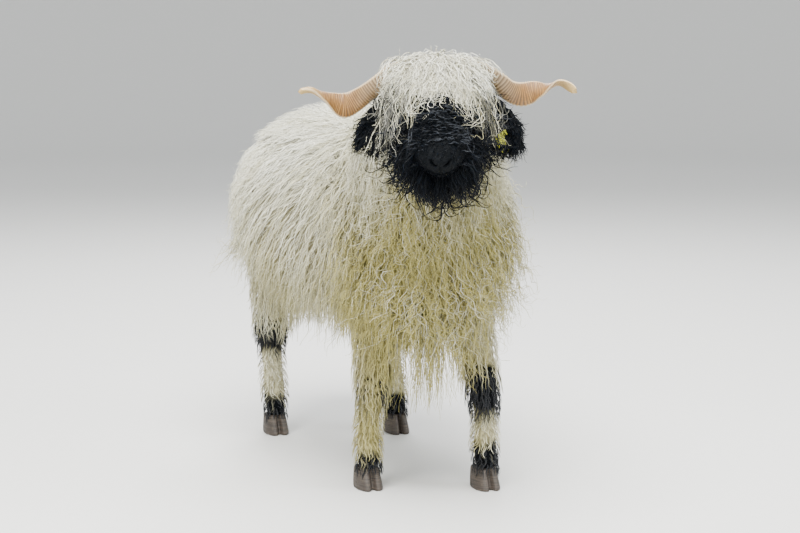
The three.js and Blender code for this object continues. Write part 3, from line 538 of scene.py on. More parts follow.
def tuft_material(name, all_black=False):
    """Wool with streaks along each tuft, with painted shade at its root, between its fibres and in its crimps,
    painted highlights along its paler fibres, and paler or warmer by its own random number.
    """
    n = Nodes(name)
    black, yellow_and_shade, tipward = n.attribute("marks")
    fiber = n.vector("fiber")
    streak = n.noise(1, 3, n.stretched(fiber, (1.3, 0.09, 97.0)))
    wander = n.noise(1, 2, n.stretched(fiber, (0.2, 0.05, 31.0)))
    _, along, own = n.attribute("fiber")
    crimp = n.range(n.math("SINE", n.math("ADD", n.times(along, 1.05), n.times(wander, 9.0))), -1, 1)
    if all_black:
        # Black wool with paler grey-blue streaks, a painted sheen along its fibres.
        colour = n.mix(PALE_HAIR, n.mix(BLACK_WOOL, GREY_WOOL_AND_SHEEN, n.range(streak, 0.5, 0.8)), black)
        rough = n.spread(streak, 0.32, 0.5)
        gloss = dict(Specular_IOR_Level=0.1)
    else:
        pale = n.range(yellow_and_shade, 0.2, 0.95, 1.0, 0.06)
        cream = n.layers(
            n.mix(WHITE_WOOL, BEIGE_WOOL_AND_SHADE, yellow_and_shade),
            (BRIGHT_WOOL, n.times(n.range(own, 0.6, 1.0, 0, 0.6), pale)),
            (BEIGE_WOOL_AND_SHADE, n.range(own, 0.45, 0.0, 0, 0.45)),
        )
        # Painted shade: each tuft darkens towards its root, less where the wool is white.
        rooted = n.math("MAXIMUM", n.range(tipward, 0.0, 0.6, 0.0, 1.0), n.range(yellow_and_shade, 0.2, 0.9, 0.55, 0.1))
        colour = n.layers(
            n.mix(DEEP_WOOL_SHADE, cream, rooted),
            # Painted highlight: paler streaks along the fibres, fewer where the wool is yellow.
            (STREAK_HIGHLIGHT, n.times(n.range(streak, 0.5, 0.75, 0, 0.45), pale)),
            # Painted shade between the fibres, deeper where the wool is yellow.
            (DEEP_WOOL_SHADE, n.times(n.range(streak, 0.46, 0.2, 0, 0.6), n.range(yellow_and_shade, 0.2, 0.9, 0.4, 1.0))),
            # Painted shade in the troughs of the crimps along each tuft.
            (DEEP_WOOL_SHADE, n.range(crimp, 0.4, 0.0, 0, 0.18)),
            # Black markings, with the same painted sheen in grey-blue streaks.
            (n.mix(BLACK_WOOL, GREY_WOOL_AND_SHEEN, n.range(streak, 0.45, 0.75)), black),
        )
        rough = n.range(black, 0, 1, 0.8, 0.55)
        gloss = dict(Sheen_Weight=0.08, Sheen_Roughness=0.5, Specular_IOR_Level=0.3)
    return n.finish(colour, rough, n.math("ADD", streak, n.times(crimp, 0.25)), 0.7, 0.0014, **gloss)


def horn_material():
    n = Nodes("horn_growth")
    run, wide, thin = n.attribute("fiber")
    groove = n.attribute("marks")[0]
    vector = n.add("ShaderNodeCombineXYZ", i0=n.times(run, 60), i1=n.times(wide, 2), i2=0.0).outputs[0]
    streak = n.noise(1, 4, n.stretched(vector, (0.35, 3.5, 1)))
    rings = n.noise(1.2, 3, n.stretched(vector, (1.0, 0.35, 1)))
    grain = n.grain(90)
    edge = n.range(n.math("ABSOLUTE", wide), 0.88, 0.99)
    colour = n.layers(
        n.mix((0.22, 0.095, 0.02), (0.42, 0.22, 0.06), n.range(rings, 0.35, 0.65)),
        ((0.36, 0.27, 0.15), n.range(thin, 0.1, 0.8, 0, 0.5)),  # one flat side
        ((0.34, 0.275, 0.17), n.range(run, 0.55, 0.26, 0, 0.9)),  # the half by the root
        ((0.50, 0.33, 0.16), n.range(streak, 0.55, 0.8, 0, 0.35)),
        ((0.08, 0.045, 0.02), n.range(groove, 0.2, 0.9, 0, 0.85)),
        ((0.46, 0.32, 0.12), n.range(run, 0.82, 1.0, 0, 0.8)),  # the tip
        ((0.74, 0.60, 0.38), n.times(edge, 0.6)),
        ((0.13, 0.07, 0.035), n.range(grain, 0.62, 0.8, 0, 0.5)),  # dirt
    )
    height = n.math("ADD", n.times(rings, 0.8), n.times(grain, 0.4))
    return n.finish(colour, n.spread(grain, 0.38, 0.62), height, 0.5, 0.0015)


def eye_material():
    n = Nodes("eyeball")
    x, y, _ = n.attribute("fiber")
    radius = n.math("SQRT", n.math("ADD", n.times(x, x), n.times(y, y)))
    slit = [n.math("DIVIDE", n.math("ABSOLUTE", way), half) for way, half in ((x, 0.42), (y, 0.15))]
    grain = n.noise(9, 4, n.vector("fiber"))
    iris = n.mix((0.09, 0.042, 0.014), (0.30, 0.16, 0.05), n.range(grain, 0.35, 0.7))
    colour = n.mix(iris, (0.012, 0.006, 0.004), n.range(radius, 0.55, 0.72))  # the iris's dark rim
    colour = n.mix((0.004, 0.004, 0.006), colour, n.range(n.math("MAXIMUM", *slit), 0.9, 1.1))  # the pupil
    colour = n.mix(colour, (0.20, 0.10, 0.07), n.range(radius, 0.78, 0.9))  # the white of the eye, mostly hidden
    rough = n.spread(grain, 0.12, 0.25)
    return n.finish(colour, rough, grain, 0.05, 0.0005, Coat_Weight=1.0, Coat_Roughness=0.03)


def hoof_material():
    n = Nodes("hoof_growth")
    bands = n.noise(1, 3, n.stretched(n.objects(), (14, 14, 420)))
    grain = n.grain(160)
    colour = n.mix((0.022, 0.017, 0.014), (0.085, 0.066, 0.05), n.range(bands, 0.35, 0.7))
    colour = n.mix(colour, (0.17, 0.14, 0.10), n.range(grain, 0.58, 0.8, 0, 0.6))
    return n.finish(colour, n.spread(grain, 0.45, 0.75), bands, 0.5, 0.0015)


def tag_material():
    n = Nodes("tag_plastic")
    grain = n.grain(220, 3)
    stains = n.grain(25, 3)
    colour = n.mix((0.46, 0.47, 0.02), (0.66, 0.67, 0.05), n.range(stains, 0.3, 0.7))
    return n.finish(colour, n.spread(grain, 0.35, 0.6), grain, 0.2, 0.0004)


def floor_material():
    n = Nodes("floor_paper")
    grain = n.grain(40, 3)
    colour = n.mix((0.70, 0.70, 0.68), (0.74, 0.74, 0.72), grain)
    return n.finish(colour, n.spread(grain, 0.8, 0.95), grain, 0.05, 0.001)


fleece_look = tuft_material("fleece_wool")
black_look = tuft_material("black_face_wool", all_black=True)
skin_look = skin_material()

# Tufts. Each is a flat three-sided tube along a path, with its bake patch at its root on the unwrapped skin.
PATCH = 0.003
TILES = {
    "trunk": (0.01, 0.51, 0.98, 0.48),
    "neck": (0.01, 0.26, 0.48, 0.24),
    "head": (0.51, 0.26, 0.48, 0.24),
    "front_right": (0.01, 0.13, 0.16, 0.12),
    "front_left": (0.18, 0.13, 0.16, 0.12),
    "hind_right": (0.35, 0.13, 0.16, 0.12),
    "hind_left": (0.52, 0.13, 0.16, 0.12),
    "tail": (0.69, 0.13, 0.16, 0.12),
    "ear_left": (0.01, 0.01, 0.2, 0.11),
    "ear_right": (0.22, 0.01, 0.2, 0.11),
}


def tile_uv(tile, t, degrees):
    u, v, wide, tall = TILES[tile]
    along = np.clip((t + 0.1) / 1.2, 0, 1)
    return columns(u + wide * (0.05 + 0.9 * along), v + tall * ((degrees % 360) / 360))


def tuft_piece(name, paths, outs, width, uv, material, flat, twist, marks=None, unshaded_scale=1.0):
    """Tufts along paths (count, steps + 1, 3) of a half width in millimetres each."""
    count, rows = paths.shape[:2]
    s = np.linspace(0, 1, rows)
    along = unit(np.gradient(paths, axis=1))
    across = unit(np.cross(along, outs))
    facing = np.cross(across, along)
    angle = np.asarray(twist).reshape(-1, 1, 1) * s[None, :, None]
    c, n = np.cos(angle), np.sin(angle)
    across, facing = across * c + facing * n, facing * c - across * n
    # A tuft starts at 0.6 of its width and narrows to 0.15 of it before its tip.
    taper = (np.minimum(1, 0.6 + 1.6 * s) * (1 - 0.85 * s**2))[None, :, None]
    half = np.asarray(width).reshape(-1, 1, 1) * taper
    deep = np.asarray(width).reshape(-1, 1, 1) * flat * (0.4 + 0.6 * taper)
    edges = (paths + across * half - facing * deep * 0.5, paths - across * half - facing * deep * 0.5)
    ring = np.stack([edges[0], paths + facing * deep, edges[1]], 2)
    tip = paths[:, -1] + (paths[:, -1] - paths[:, -2]) * 0.5
    points = np.concatenate([ring.reshape(count, -1, 3), tip[:, None]], 1).reshape(-1, 3)
    i, j = np.meshgrid(np.arange(rows - 1), np.arange(3), indexing="ij")
    a, b = i * 3 + j, i * 3 + (j + 1) % 3
    quads = columns(a, a + 3, b + 3, b).reshape(-1, 4)
    end, top, per = (rows - 1) * 3, rows * 3, rows * 3 + 1
    tris = np.array([[end, top, end + 1], [end + 1, top, end + 2], [end + 2, top, end], [0, 1, 2]])
    base = (np.arange(count) * per)[:, None, None]
    faces = [(quads[None] + base).reshape(-1, 4), (tris[None] + base).reshape(-1, 3)]
    u = np.tile(np.append(np.tile([-1.0, 0.0, 1.0], rows), 0), count)
    v = np.tile(np.append(np.repeat(s, 3), 1), count)
    own = np.repeat(rng.random(count), per)
    patch = np.repeat(uv, per, axis=0) + columns(u * PATCH / 2, (v - 0.5) * PATCH)
    if marks is None:
        near = paths[:, 0] + rng.normal(0, MARK_BLUR, (count, 3))
        marks = columns(black_at(near), yellow_and_shade_at(near))
    # The third mark runs from 0 at the root to the scale at the tip and sets the painted root shade; a scale under 1
    # keeps more of a tuft in it.
    marks = np.column_stack([np.repeat(marks, per, axis=0), v * unshaded_scale])
    run = np.cumsum(np.linalg.norm(np.diff(paths, axis=1, prepend=paths[:, :1]), axis=-1), axis=1)
    run = np.concatenate([np.repeat(run, 3, axis=1), run[:, -1:] + 3], 1).ravel()
    fiber = np.column_stack([u * np.repeat(np.broadcast_to(width, count), per), run, own])
    return mesh_piece(name, points, faces, material, marks, fiber, patch)


def scatter(limb, spacing, start, stop):
    """Even places over a limb's skin and its round ends, spacing millimetres apart: t, degrees."""
    jitter = 0.35
    spacing = spacing / math.sqrt(DENSITY)
    low, high = max(start, 0.0), min(stop, 1.0)
    count = max(2, int(limb.length * (high - low) / spacing))
    lines = [(low + (high - low) * (k + 0.5) / count, (high - low) / count) for k in range(count)]
    for end, share, way in ((0.0, -start, -1), (1.0, stop - 1, 1)):
        if share > 0:
            reach = np.mean(limb.section(np.array([end]))[4:])
            count = max(1, int(math.pi / 4 * (reach + limb.caps[int(end)]) * share / spacing))
            lines += [(end + way * math.sin((k + 0.5) / count * share * math.pi / 2), 0.0) for k in range(count)]
    ts, degrees = [], []
    fine = np.linspace(0, 360, 73)
    for t, step in lines:
        ring, _ = limb.spot(np.full(len(fine), t), fine)
        run = np.append(0, np.cumsum(np.linalg.norm(np.diff(ring, axis=0), axis=1)))
        n = max(3, int(run[-1] / spacing))
        at = (np.arange(n) + rng.random() + rng.uniform(-jitter, jitter, n)) / n % 1 * run[-1]
        degrees.append(np.interp(at, run, fine))
        ts.append(t + rng.uniform(-jitter, jitter, n) * step)
    return np.concatenate(ts), np.concatenate(degrees)


def grow(limbs, root, out, heading, length, steps, pull, height=0.0):
    """Paths of tufts that leave their root, fall under their weight and stay height over the limbs."""
    paths, outs = [root - out * ROOT_DEPTH], [out]
    here, way, facing = root, unit(heading), out
    for k in range(1, steps + 1):
        s = k / steps
        ahead = here + way * (length / steps)[:, None]
        for limb in limbs:  # a tuft is at its height from two thirds of its length on
            ahead, pushed, near = limb.push(ahead, height * min(1, 1.5 * s) ** 0.8)
            facing = np.where(near[:, None], pushed, facing)
        way = unit(ahead - here)
        way = unit(way * (1 - pull) + DOWN * pull)
        here = ahead
        paths.append(here)
        outs.append(unit(facing))
    return np.stack(paths, 1), np.stack(outs, 1)


def any_phase(count):
    return rng.uniform(0, 6.3, count)


def gather(paths, root, guides, guide_roots, share):
    """Draws tufts towards the nearest guide's tip, and returns which guide that is."""
    parts = np.array_split(root, max(1, len(root) // AT_ONCE))
    nearest = np.concatenate([np.argmin(((r[:, None] - guide_roots[None]) ** 2).sum(-1), 1) for r in parts])
    s = np.linspace(0, 1, paths.shape[1])[None, :, None]
    return paths + (guides[nearest] - paths) * share * s**1.4, nearest


def bent(paths, outs, length, swing, period, phase, hook, start=0.5, tilt=0.5):
    """Bends tufts to and fro by swing radians, and their ends into hooks of hook radians, keeping their length."""
    count, rows = paths.shape[:2]
    pieces = np.diff(paths, axis=1)
    s = (np.arange(rows - 1) + 0.5)[None] / (rows - 1)
    turn = TURN * s * (length / period)[:, None] + phase[:, None]
    angle = np.asarray(swing).reshape(-1, 1) * np.minimum(1, 3 * s) * np.sin(turn)
    angle = angle + np.asarray(hook).reshape(-1, 1) * smooth(start, 1.05, s)
    across = unit(np.cross(unit(pieces), outs[:, :-1]))
    lean = rng.normal(0, tilt, (count, 1, 1))
    axis = unit(outs[:, :-1] * np.cos(lean) + across * np.sin(lean))
    c, n = np.cos(angle)[..., None], np.sin(angle)[..., None]
    rolled = pieces * c + np.cross(axis, pieces) * n + axis * (axis * pieces).sum(-1, keepdims=True) * (1 - c)
    return np.concatenate([paths[:, :1], paths[:, :1] + np.cumsum(rolled, axis=1)], axis=1)


def keep_outside(root, others):
    keep = np.ones(len(root), bool)
    for limb in others:
        keep &= limb.place(root)[0] > CLEAR_RADIUS
    return keep


def coat(
    name, limb, spacing, length, lie, steps, half, height=None, over=(), hide=(), select=None, span=(0.0, 1.0),
    pull=0.2, stand=0.5, swing=0.5, period=40.0, hook=0.5, clump=34.0, share=0.5, level=1.0, rough=0.7,
    flat=0.4, tilt=0.5, twist=0.9, unshaded_scale=1.0, marks=None, calm=False,
):
    """The wool of a limb, in clumps round guides, at most level of the way to the outline of the wool.

    length, lie and select are functions of t, degrees and root. The wool lies over the limb and those in over, and
    has no roots in those in hide. With calm, the waves of neighbours agree. Else those of a clump do."""

    def laid(t, degrees):
        root, out = limb.spot(t, degrees)
        keep = keep_outside(root, hide)
        if select is not None:
            keep &= select(t, degrees, root)
        t, degrees, root, out = t[keep], degrees[keep], root[keep], out[keep]
        side, up, down = blend_rows(limb.rows, t)[:, 6:9].T
        c, n = cos_sin(degrees)
        depth = (1 - limb.level_at(t)) * (side * c**2 + np.where(n > 0, up, down) * n**2)
        towards = lie(t, degrees, root)
        towards = unit(towards - out * (towards * out).sum(-1)[:, None])
        return t, degrees, root, out, towards, depth if height is None else height

    t, degrees, root, out, towards, tall = laid(*scatter(limb, spacing, *span))
    guide_t, guide_degrees, guide_root, guide_out, guide_towards, guide_tall = laid(
        *scatter(limb, clump * math.sqrt(DENSITY), *span)
    )
    count, guide_count = len(t), len(guide_t)
    long = length(t, degrees, root) * rng.uniform(*LENGTHS, count)
    guide_long = length(guide_t, guide_degrees, guide_root)
    tall = tall * level * rng.uniform(rough, 1.0, count)
    spread = (0.1 if calm else 0.16) * rng.normal(size=(count, 3))
    limbs = (limb, *over)
    paths, outs = grow(limbs, root, out, towards + out * stand + spread, long, steps, pull, tall)
    guide_heading = guide_towards + guide_out * stand
    guides, _ = grow(limbs, guide_root, guide_out, guide_heading, guide_long, steps, pull, guide_tall * 0.9 * level)
    paths, which = gather(paths, root, guides, guide_root, share)
    if calm:
        phase = 3.4 * wobble(root, 130, 21) + rng.normal(0, 0.7, count)
        waves = period * (1 + 0.2 * wobble(root, 110, 22) + rng.normal(0, 0.1, count))
        hooks = hook * (1.3 * wobble(root, 80, 23) + rng.normal(0, 0.5, count))
    else:
        phase = rng.uniform(0, TURN, guide_count)[which] + rng.normal(0, 0.35, count)
        waves = period * rng.uniform(0.8, 1.2, guide_count)[which]
        hooks = (rng.choice([-1, 1], guide_count) * rng.uniform(0.4, 1.4, guide_count))[which]
        hooks = hook * (hooks + rng.normal(0, 0.4, count))
    paths = bent(paths, outs, long, swing * rng.uniform(*SWINGS, count), waves, phase, hooks, tilt=tilt)
    paths = np.clip(paths, wool_low, wool_high)
    paths[..., 2] = np.maximum(paths[..., 2], FLOOR_GAP)
    wide = half * rng.uniform(*WIDTHS, count)
    if marks is not None:
        marks = marks(root + DOWN * (0.5 * long)[:, None])
    uv = tile_uv(limb.tile, t, degrees)
    twists = rng.normal(0, twist, count)
    settle(tuft_piece(name, paths, outs, wide, uv, fleece_look, flat, twists, marks, unshaded_scale), "fleece")


# The skin: the limbs' surfaces and the shapes of the face, joined by a voxel remesh.
def limb_surface(limb, rows, sides):
    ends = np.array([0.98, 0.9, 0.72, 0.45, 0.2])
    t = np.concatenate([-ends, np.linspace(0, 1, rows), 1 + ends[::-1]])
    degrees = np.linspace(0, 360, sides, endpoint=False)
    return loft(limb.spot(np.repeat(t, sides), np.tile(degrees, len(t)))[0].reshape(len(t), sides, 3))


def egg(middle, size, turn=0.0):
    """An egg in the tilted head frame, turned in degrees about the way the head looks."""
    c, n = math.cos(math.radians(turn)), math.sin(math.radians(turn))
    rings = ball(12, 24, 0.06)[..., [0, 2, 1]] * size @ np.array([[c, 0, -n], [0, 1, 0], [n, 0, c]])
    return loft(moved(rings + middle, TILTED_HEAD))


def eye_frame(side):
    """The ways across, up and out of an eye, and its middle."""
    s = SIGN[side]
    aim = unit(turned((s, -0.35, 0.1), TILTED_HEAD))
    rise = unit(np.cross(turned(BACK, TILTED_HEAD), aim)) * s
    return np.stack([unit(np.cross(aim, rise)), rise, aim]), moved((s * EYE_PLACE[0], *EYE_PLACE[1:]), TILTED_HEAD)


def eyelids(side):
    """The rolled rims of the two lids, one closed loop that lies on the eyeball."""
    basis, middle = eye_frame(side)
    rows, sides = 48, 10
    a, b = circle(rows), circle(sides)
    wide, high = 0.86 * np.cos(a), 0.56 * np.sin(a) * (1 - 0.25 * np.abs(np.cos(a)))
    way = unit(columns(wide, high, np.sqrt(np.maximum(0.05, 1 - wide**2 - high**2))))
    centre = way * (EYE_RADIUS + 0.8)
    along = unit(np.roll(centre, -1, 0) - np.roll(centre, 1, 0))
    aside = np.cross(way, along)
    tube = (2.6 + 1.5 * np.maximum(0, np.sin(a)))[:, None, None]
    rings = way[:, None] * np.cos(b)[None, :, None] + aside[:, None] * np.sin(b)[None, :, None]
    points = (centre[:, None] + tube * rings).reshape(-1, 3) @ basis + middle
    i, j = np.meshgrid(np.arange(rows), np.arange(sides), indexing="ij")
    here, ahead, beside = i * sides, (i + 1) % rows * sides, (j + 1) % sides
    quads = columns(here + j, here + beside, ahead + beside, ahead + j)
    return points, quads.reshape(-1, 4), np.zeros((0, 3), int)


def curve_at(rows, sign, t):
    """Of a curve of the level head, the row at t, its point and the way along."""
    spot = lambda at: moved(blend_rows(rows, at)[..., :3] * (sign, 1, 1), LEVEL_HEAD)
    return blend_rows(rows, t), spot(t), unit(spot(np.minimum(t + 0.02, 1)) - spot(np.maximum(t - 0.02, 0)))


# A row of an ear is x, y, z, half width and cup.
EAR_LEFT = [
    (58, 22, -2, 15, 0), (80, 18, -21, 23, 8), (104, 12, -45, 28, 12), (126, 7, -72, 24, 7), (138, 4, -92, 11, 0),
]
EAR_RIGHT = [(x * 0.97, y, z * 1.03, *rest) for x, y, z, *rest in EAR_LEFT]
EAR_ROWS = {"left": EAR_LEFT, "right": EAR_RIGHT}
EAR_HALF = 2.4


def ear_place(side, t, u, lift):
    """A point of an ear at t along it and u across it, from -1 to 1, and the ways along, across and behind it."""
    row, middle, along = curve_at(EAR_ROWS[side], SIGN[side], t)
    wide = unit(np.cross(along, turned(BACK, LEVEL_HEAD)))
    rear = np.cross(wide, along)
    cup = (row[..., 4] * (1 - u * u) + lift)[..., None]
    return middle + wide * (u * (row[..., 3] - 1))[..., None] + rear * cup, along, wide, rear


def ear_leaf(side):
    rows, half_ring = 24, 15
    u = np.concatenate([np.linspace(-1, 1, half_ring), np.linspace(1, -1, half_ring)])
    lift = np.repeat([EAR_HALF, -EAR_HALF], half_ring) * np.sqrt(np.maximum(0.15, 1 - u**4))
    t = np.repeat(np.linspace(0, 1, rows), len(u))
    rings = ear_place(side, t, np.tile(u, rows), np.tile(lift, rows))[0].reshape(rows, len(u), 3)
    _, middle, along = curve_at(EAR_ROWS[side], SIGN[side], np.array([0.0, 1.0]))
    return loft(rings, middle[0] - along[0] * 16, middle[1] + along[1] * 12)


def joined(shapes):
    starts = np.cumsum([0] + [len(points) for points, _, _ in shapes])
    quads = [q + start for (_, q, _), start in zip(shapes, starts)]
    tris = [t + start for (_, _, t), start in zip(shapes, starts)]
    return np.vstack([points for points, _, _ in shapes]), np.vstack(quads), np.vstack(tris)


def remeshed(name, shapes, voxel, rounds, material):
    """Points and faces of the shapes joined into one surface, with a voxel in millimetres, eased in rounds."""
    points, quads, tris = joined(shapes)
    obj = mesh_piece(name, points, [quads, tris], material)
    remesh = obj.modifiers.new("join", "REMESH")
    remesh.mode, remesh.voxel_size = "VOXEL", voxel / 1000
    ease = obj.modifiers.new("ease", "SMOOTH")
    ease.factor, ease.iterations = 0.5, rounds
    made = bpy.data.meshes.new_from_object(obj.evaluated_get(bpy.context.evaluated_depsgraph_get()))
    co = np.zeros(len(made.vertices) * 3)
    made.vertices.foreach_get("co", co)
    sizes = np.zeros(len(made.polygons), int)
    made.polygons.foreach_get("loop_total", sizes)
    corners = np.zeros(len(made.loops), int)
    made.loops.foreach_get("vertex_index", corners)
    starts = np.cumsum(sizes) - sizes
    quads, tris = (np.stack([corners[starts[sizes == n] + k] for k in range(n)], -1) for n in (4, 3))
    bpy.data.objects.remove(obj)
    bpy.data.meshes.remove(made)
    return (co.reshape(-1, 3) - SHIFT) * 1000, quads, tris


NOSTRIL = {"across": 15, "up": 5, "long": 8.5, "high": 3.0, "deep": 11, "turn": 38, "bow": 0.035}
MOUTH = {"height": -16, "half": 1.9, "deep": 4.5}
GROOVE = {"half": 1.5, "deep": 3.5}


def face_details(points):
    """Presses the nostrils, the line of the mouth and the groove of the upper lip into the skin."""
    local = head_local(points)
    x, y, z = local.T
    move = np.zeros_like(local)
    for sign in (1, -1):
        turn = math.radians(NOSTRIL["turn"] * sign)
        c, n = math.cos(turn), math.sin(turn)
        a, b = x - sign * NOSTRIL["across"], z - NOSTRIL["up"]
        along = a * c + b * n
        d = np.hypot(along / NOSTRIL["long"], (-a * n + b * c - NOSTRIL["bow"] * along**2) / NOSTRIL["high"])
        amount = smooth(1.25, 0.5, d) * smooth(-205, -222, y) * NOSTRIL["deep"]
        move += amount[:, None] * unit(np.array([-sign * 0.5, 1.0, 0.0]))
    lip = MOUTH["height"] + 5 * smooth(-232, -190, y) - 3 * np.exp(-((x / 9) ** 2))
    mouth = np.exp(-(((z - lip) / MOUTH["half"]) ** 2)) * smooth(-178, -192, y) * MOUTH["deep"]
    outward = unit(columns(x, (y + 175) * 0.7, 0.0))
    move -= outward * mouth[:, None]
    groove = np.exp(-((x / GROOVE["half"]) ** 2)) * smooth(-222, -232, y) * smooth(6, -2, z) * smooth(-17, -12, z)
    move[:, 1] += groove * GROOVE["deep"]
    return points + turned(move, TILTED_HEAD)


face_shapes = [limb_surface(head, 60, 40)]
for side, s in SIGN.items():
    face_shapes += [
        egg((s * 15, -232, 7), (13, 11, 11)),
        egg((s * 16, -229, -6), (15, 15, 10)),
        egg((s * 36, -92, -4), (26, 40, 24), s * 15),
        egg((s * 44, -62, 40), (17, 27, 9), s * 38),
        egg((s * 20, -150, 24), (12, 60, 9)),
        eyelids(side),
        ear_leaf(side),
    ]
face_shapes += [egg((0, -221, -26), (21, 17, 9)), egg((0, -120, 46), (24, 70, 12))]
head_points, head_quads, head_tris = remeshed("head_form", face_shapes, FACE_VOXEL, 4, skin_look)
head_points = face_details(head_points)
body_shapes = [limb_surface(trunk, 40, 48), limb_surface(neck, 20, 40), limb_surface(tail, 20, 16)]
body_shapes += [limb_surface(limb, 60, 24) for limb in every_leg]
body = remeshed("body_form", body_shapes, BODY_VOXEL, 4, skin_look)
skin_points, skin_quads, skin_tris = joined([(head_points, head_quads, head_tris), body])
skin_marks = columns(black_at(skin_points), yellow_and_shade_at(skin_points), 1.0)
in_ears = (np.arange(len(skin_points)) < len(head_points)) & (np.abs(head_local(skin_points)[:, 0]) > EAR_START)
skin_marks[in_ears, 0] = 1
skin = mesh_piece("skin", skin_points, [skin_quads, skin_tris], skin_look, skin_marks)
settle(skin, "fleece", "head", "neck", "torso", "tail", "ear_left", "ear_right", *("leg_" + name for name in FEET))

# Horns: flat tubes that curl, with ridges of growth. A row is x, y, z, half width, half thickness and turn.
HORN_ROWS = {
    "left": [
        (40, 6, 50, 20, 15, 60),
        (82, 8, 42, 18, 13, 58),
        (113, 16, 25, 17, 11, 60),
        (135, 28, 5, 20, 9, 70),
        (161, 40, -4, 23, 7, 85),
        (186, 38, 2, 20, 6, 100),
        (204, 26, 6, 14, 5.5, 125),
        (220, 12, 15, 11, 5, 165),
        (234, 2, 19, 11, 5, 215),
        (249, -6, 13, 10, 5, 245),
        (259, -10, 5, 7, 5, 262),
    ],
    "right": [
        (40, 6, 50, 20, 15, 60),
        (78, 8, 44, 18, 13, 58),
        (101, 16, 28, 17, 12, 58),
        (132, 28, 3, 18, 11, 66),
        (160, 40, -17, 21, 9, 80),
        (181, 40, -25, 24, 7, 95),
        (202, 30, -17, 19, 6, 115),
        (222, 14, -5, 13, 5.5, 140),
        (243, 0, 6, 9, 6.5, 175),
        (261, -8, 4, 8, 5.5, 215),
    ],
}

HORN_RINGS, HORN_SIDES = 260, 40
horn_look = horn_material()
for side, rows in HORN_ROWS.items():
    t, angle = np.linspace(0, 1, HORN_RINGS), circle(HORN_SIDES)
    row, middle, along = curve_at(rows, SIGN[side], t)
    level = unit(np.cross(along, UP))
    rise = np.cross(level, along)
    turn = np.radians(row[:, 5])[:, None] * SIGN[side]
    wide = level * np.cos(turn) + rise * np.sin(turn)
    thin = np.cross(wide, along)
    run = np.append(0, np.cumsum(np.linalg.norm(np.diff(middle, axis=0), axis=1)))
    saw = (run / (7.5 - 3.0 * t) + 0.25 * np.sin(run / 23.0) + 0.2 * np.sin(run / 9.0)) % 1
    ridge = (np.minimum(saw / 0.75, (1 - saw) / 0.25)) ** 1.3
    depth = (1.5 * (1 - 0.55 * t))[:, None] * (0.55 + 0.45 * np.abs(np.cos(angle)))[None]
    pressed = depth * (ridge[:, None] - 1)
    oval = 1 + 0.04 * np.cos(2 * angle)
    half_wide, half_thin = row[:, 3:4] * oval + pressed, row[:, 4:5] * oval + pressed
    rings = middle[:, None] + wide[:, None] * (half_wide * np.cos(angle))[..., None]
    rings = rings + thin[:, None] * (half_thin * np.sin(angle))[..., None]
    points, quads, tris = loft(rings, middle[0] - along[0] * 4, middle[-1] + along[-1] * 7)
    fiber, marks = np.zeros((len(points), 3)), np.zeros((len(points), 3))
    around = [np.tile(np.cos(angle), HORN_RINGS), np.tile(np.sin(angle), HORN_RINGS)]
    fiber[:-2] = np.column_stack([np.repeat(run / run[-1], HORN_SIDES), *around])
    fiber[-1, 0] = 1
    marks[:-2, 0] = np.repeat(1 - ridge, HORN_SIDES)
    piece = mesh_piece("horn_growth_" + side, points, [quads[:, ::-1], tris[:, ::-1]], horn_look, marks, fiber)
    settle(piece, "horn", "horn_" + side)

# Eyes, with a bulging cornea and a level slit.
CORNEA = 0.05
eye_look = eye_material()
for side in SIGN:
    basis, middle = eye_frame(side)
    rings = ball(40, 48, 0.04)
    rings = rings * (1 + CORNEA * smooth(0.62, 0.9, rings[..., 2:3]))
    points, quads, tris = loft(rings, (0, 0, 1 + CORNEA), (0, 0, -1))
    faces = [quads[:, ::-1], tris[:, ::-1]]
    piece = mesh_piece("eyeball_" + side, points * EYE_RADIUS @ basis + middle, faces, eye_look, None, points)
    settle(piece, "eye", "eye_" + side)

# Hooves: two claws, with a bulb of horn at the heel.
CLAW = {"length": 66, "width": 27, "cleft": 3, "slope": 15, "height": 46, "back": 4}
CLAW_OUTLINE = [(0, 0.5), (0, 0.13), (0, -0.25), (0.28, -0.5), (0.72, -0.38), (1, 0), (0.95, 0.38), (0.6, 0.52)]
CLAW_HEIGHTS = [0.0, 0.6, 1.6, 3.2, *np.linspace(6, CLAW["height"] - 3, 9), CLAW["height"] - 1]
HEEL_SIZE, HEEL_BACK, HEEL_HEIGHT = (17, 13, 13), 17, 17


def claw(x, y, s):
    sides = 40
    outline = np.array(CLAW_OUTLINE)
    place = np.arange(sides) / sides * len(outline)
    near = (outline[(place.astype(int) + k) % len(outline)] for k in (-1, 0, 1, 2))
    edge = np.clip(catmull(*near, (place % 1)[:, None]), (0, -0.5), (1, 0.52))
    rings = []
    for z in CLAW_HEIGHTS:
        h = z / CLAW["height"]
        tuck = 1 - 0.05 * smooth(3, 0, z) - 0.2 * h**1.5 - 0.05 * smooth(0.9, 1, h)
        across = x + s * (CLAW["cleft"] / 2 + edge[:, 0] * CLAW["width"] * tuck)
        along = y - CLAW["back"] + CLAW["slope"] * h + edge[:, 1] * CLAW["length"] * tuck
        rings.append(columns(across, along, z))
    return loft(np.array(rings))


hoof_look = hoof_material()
for name, (x, y) in FEET.items():
    heel = loft(ball(14, 24, 0.1) * HEEL_SIZE + (x, y + HEEL_BACK, HEEL_HEIGHT))
    points, quads, tris = remeshed("claws_form", [claw(x, y, -1), claw(x, y, 1), heel], HOOF_VOXEL, 2, hoof_look)
    piece = mesh_piece("claws_" + name, points, [quads, tris], hoof_look)
    settle(piece, "hoof", "hoof_" + name)

bpy.data.objects["ear_tag"].data.materials.clear()
bpy.data.objects["ear_tag"].data.materials.append(tag_material())


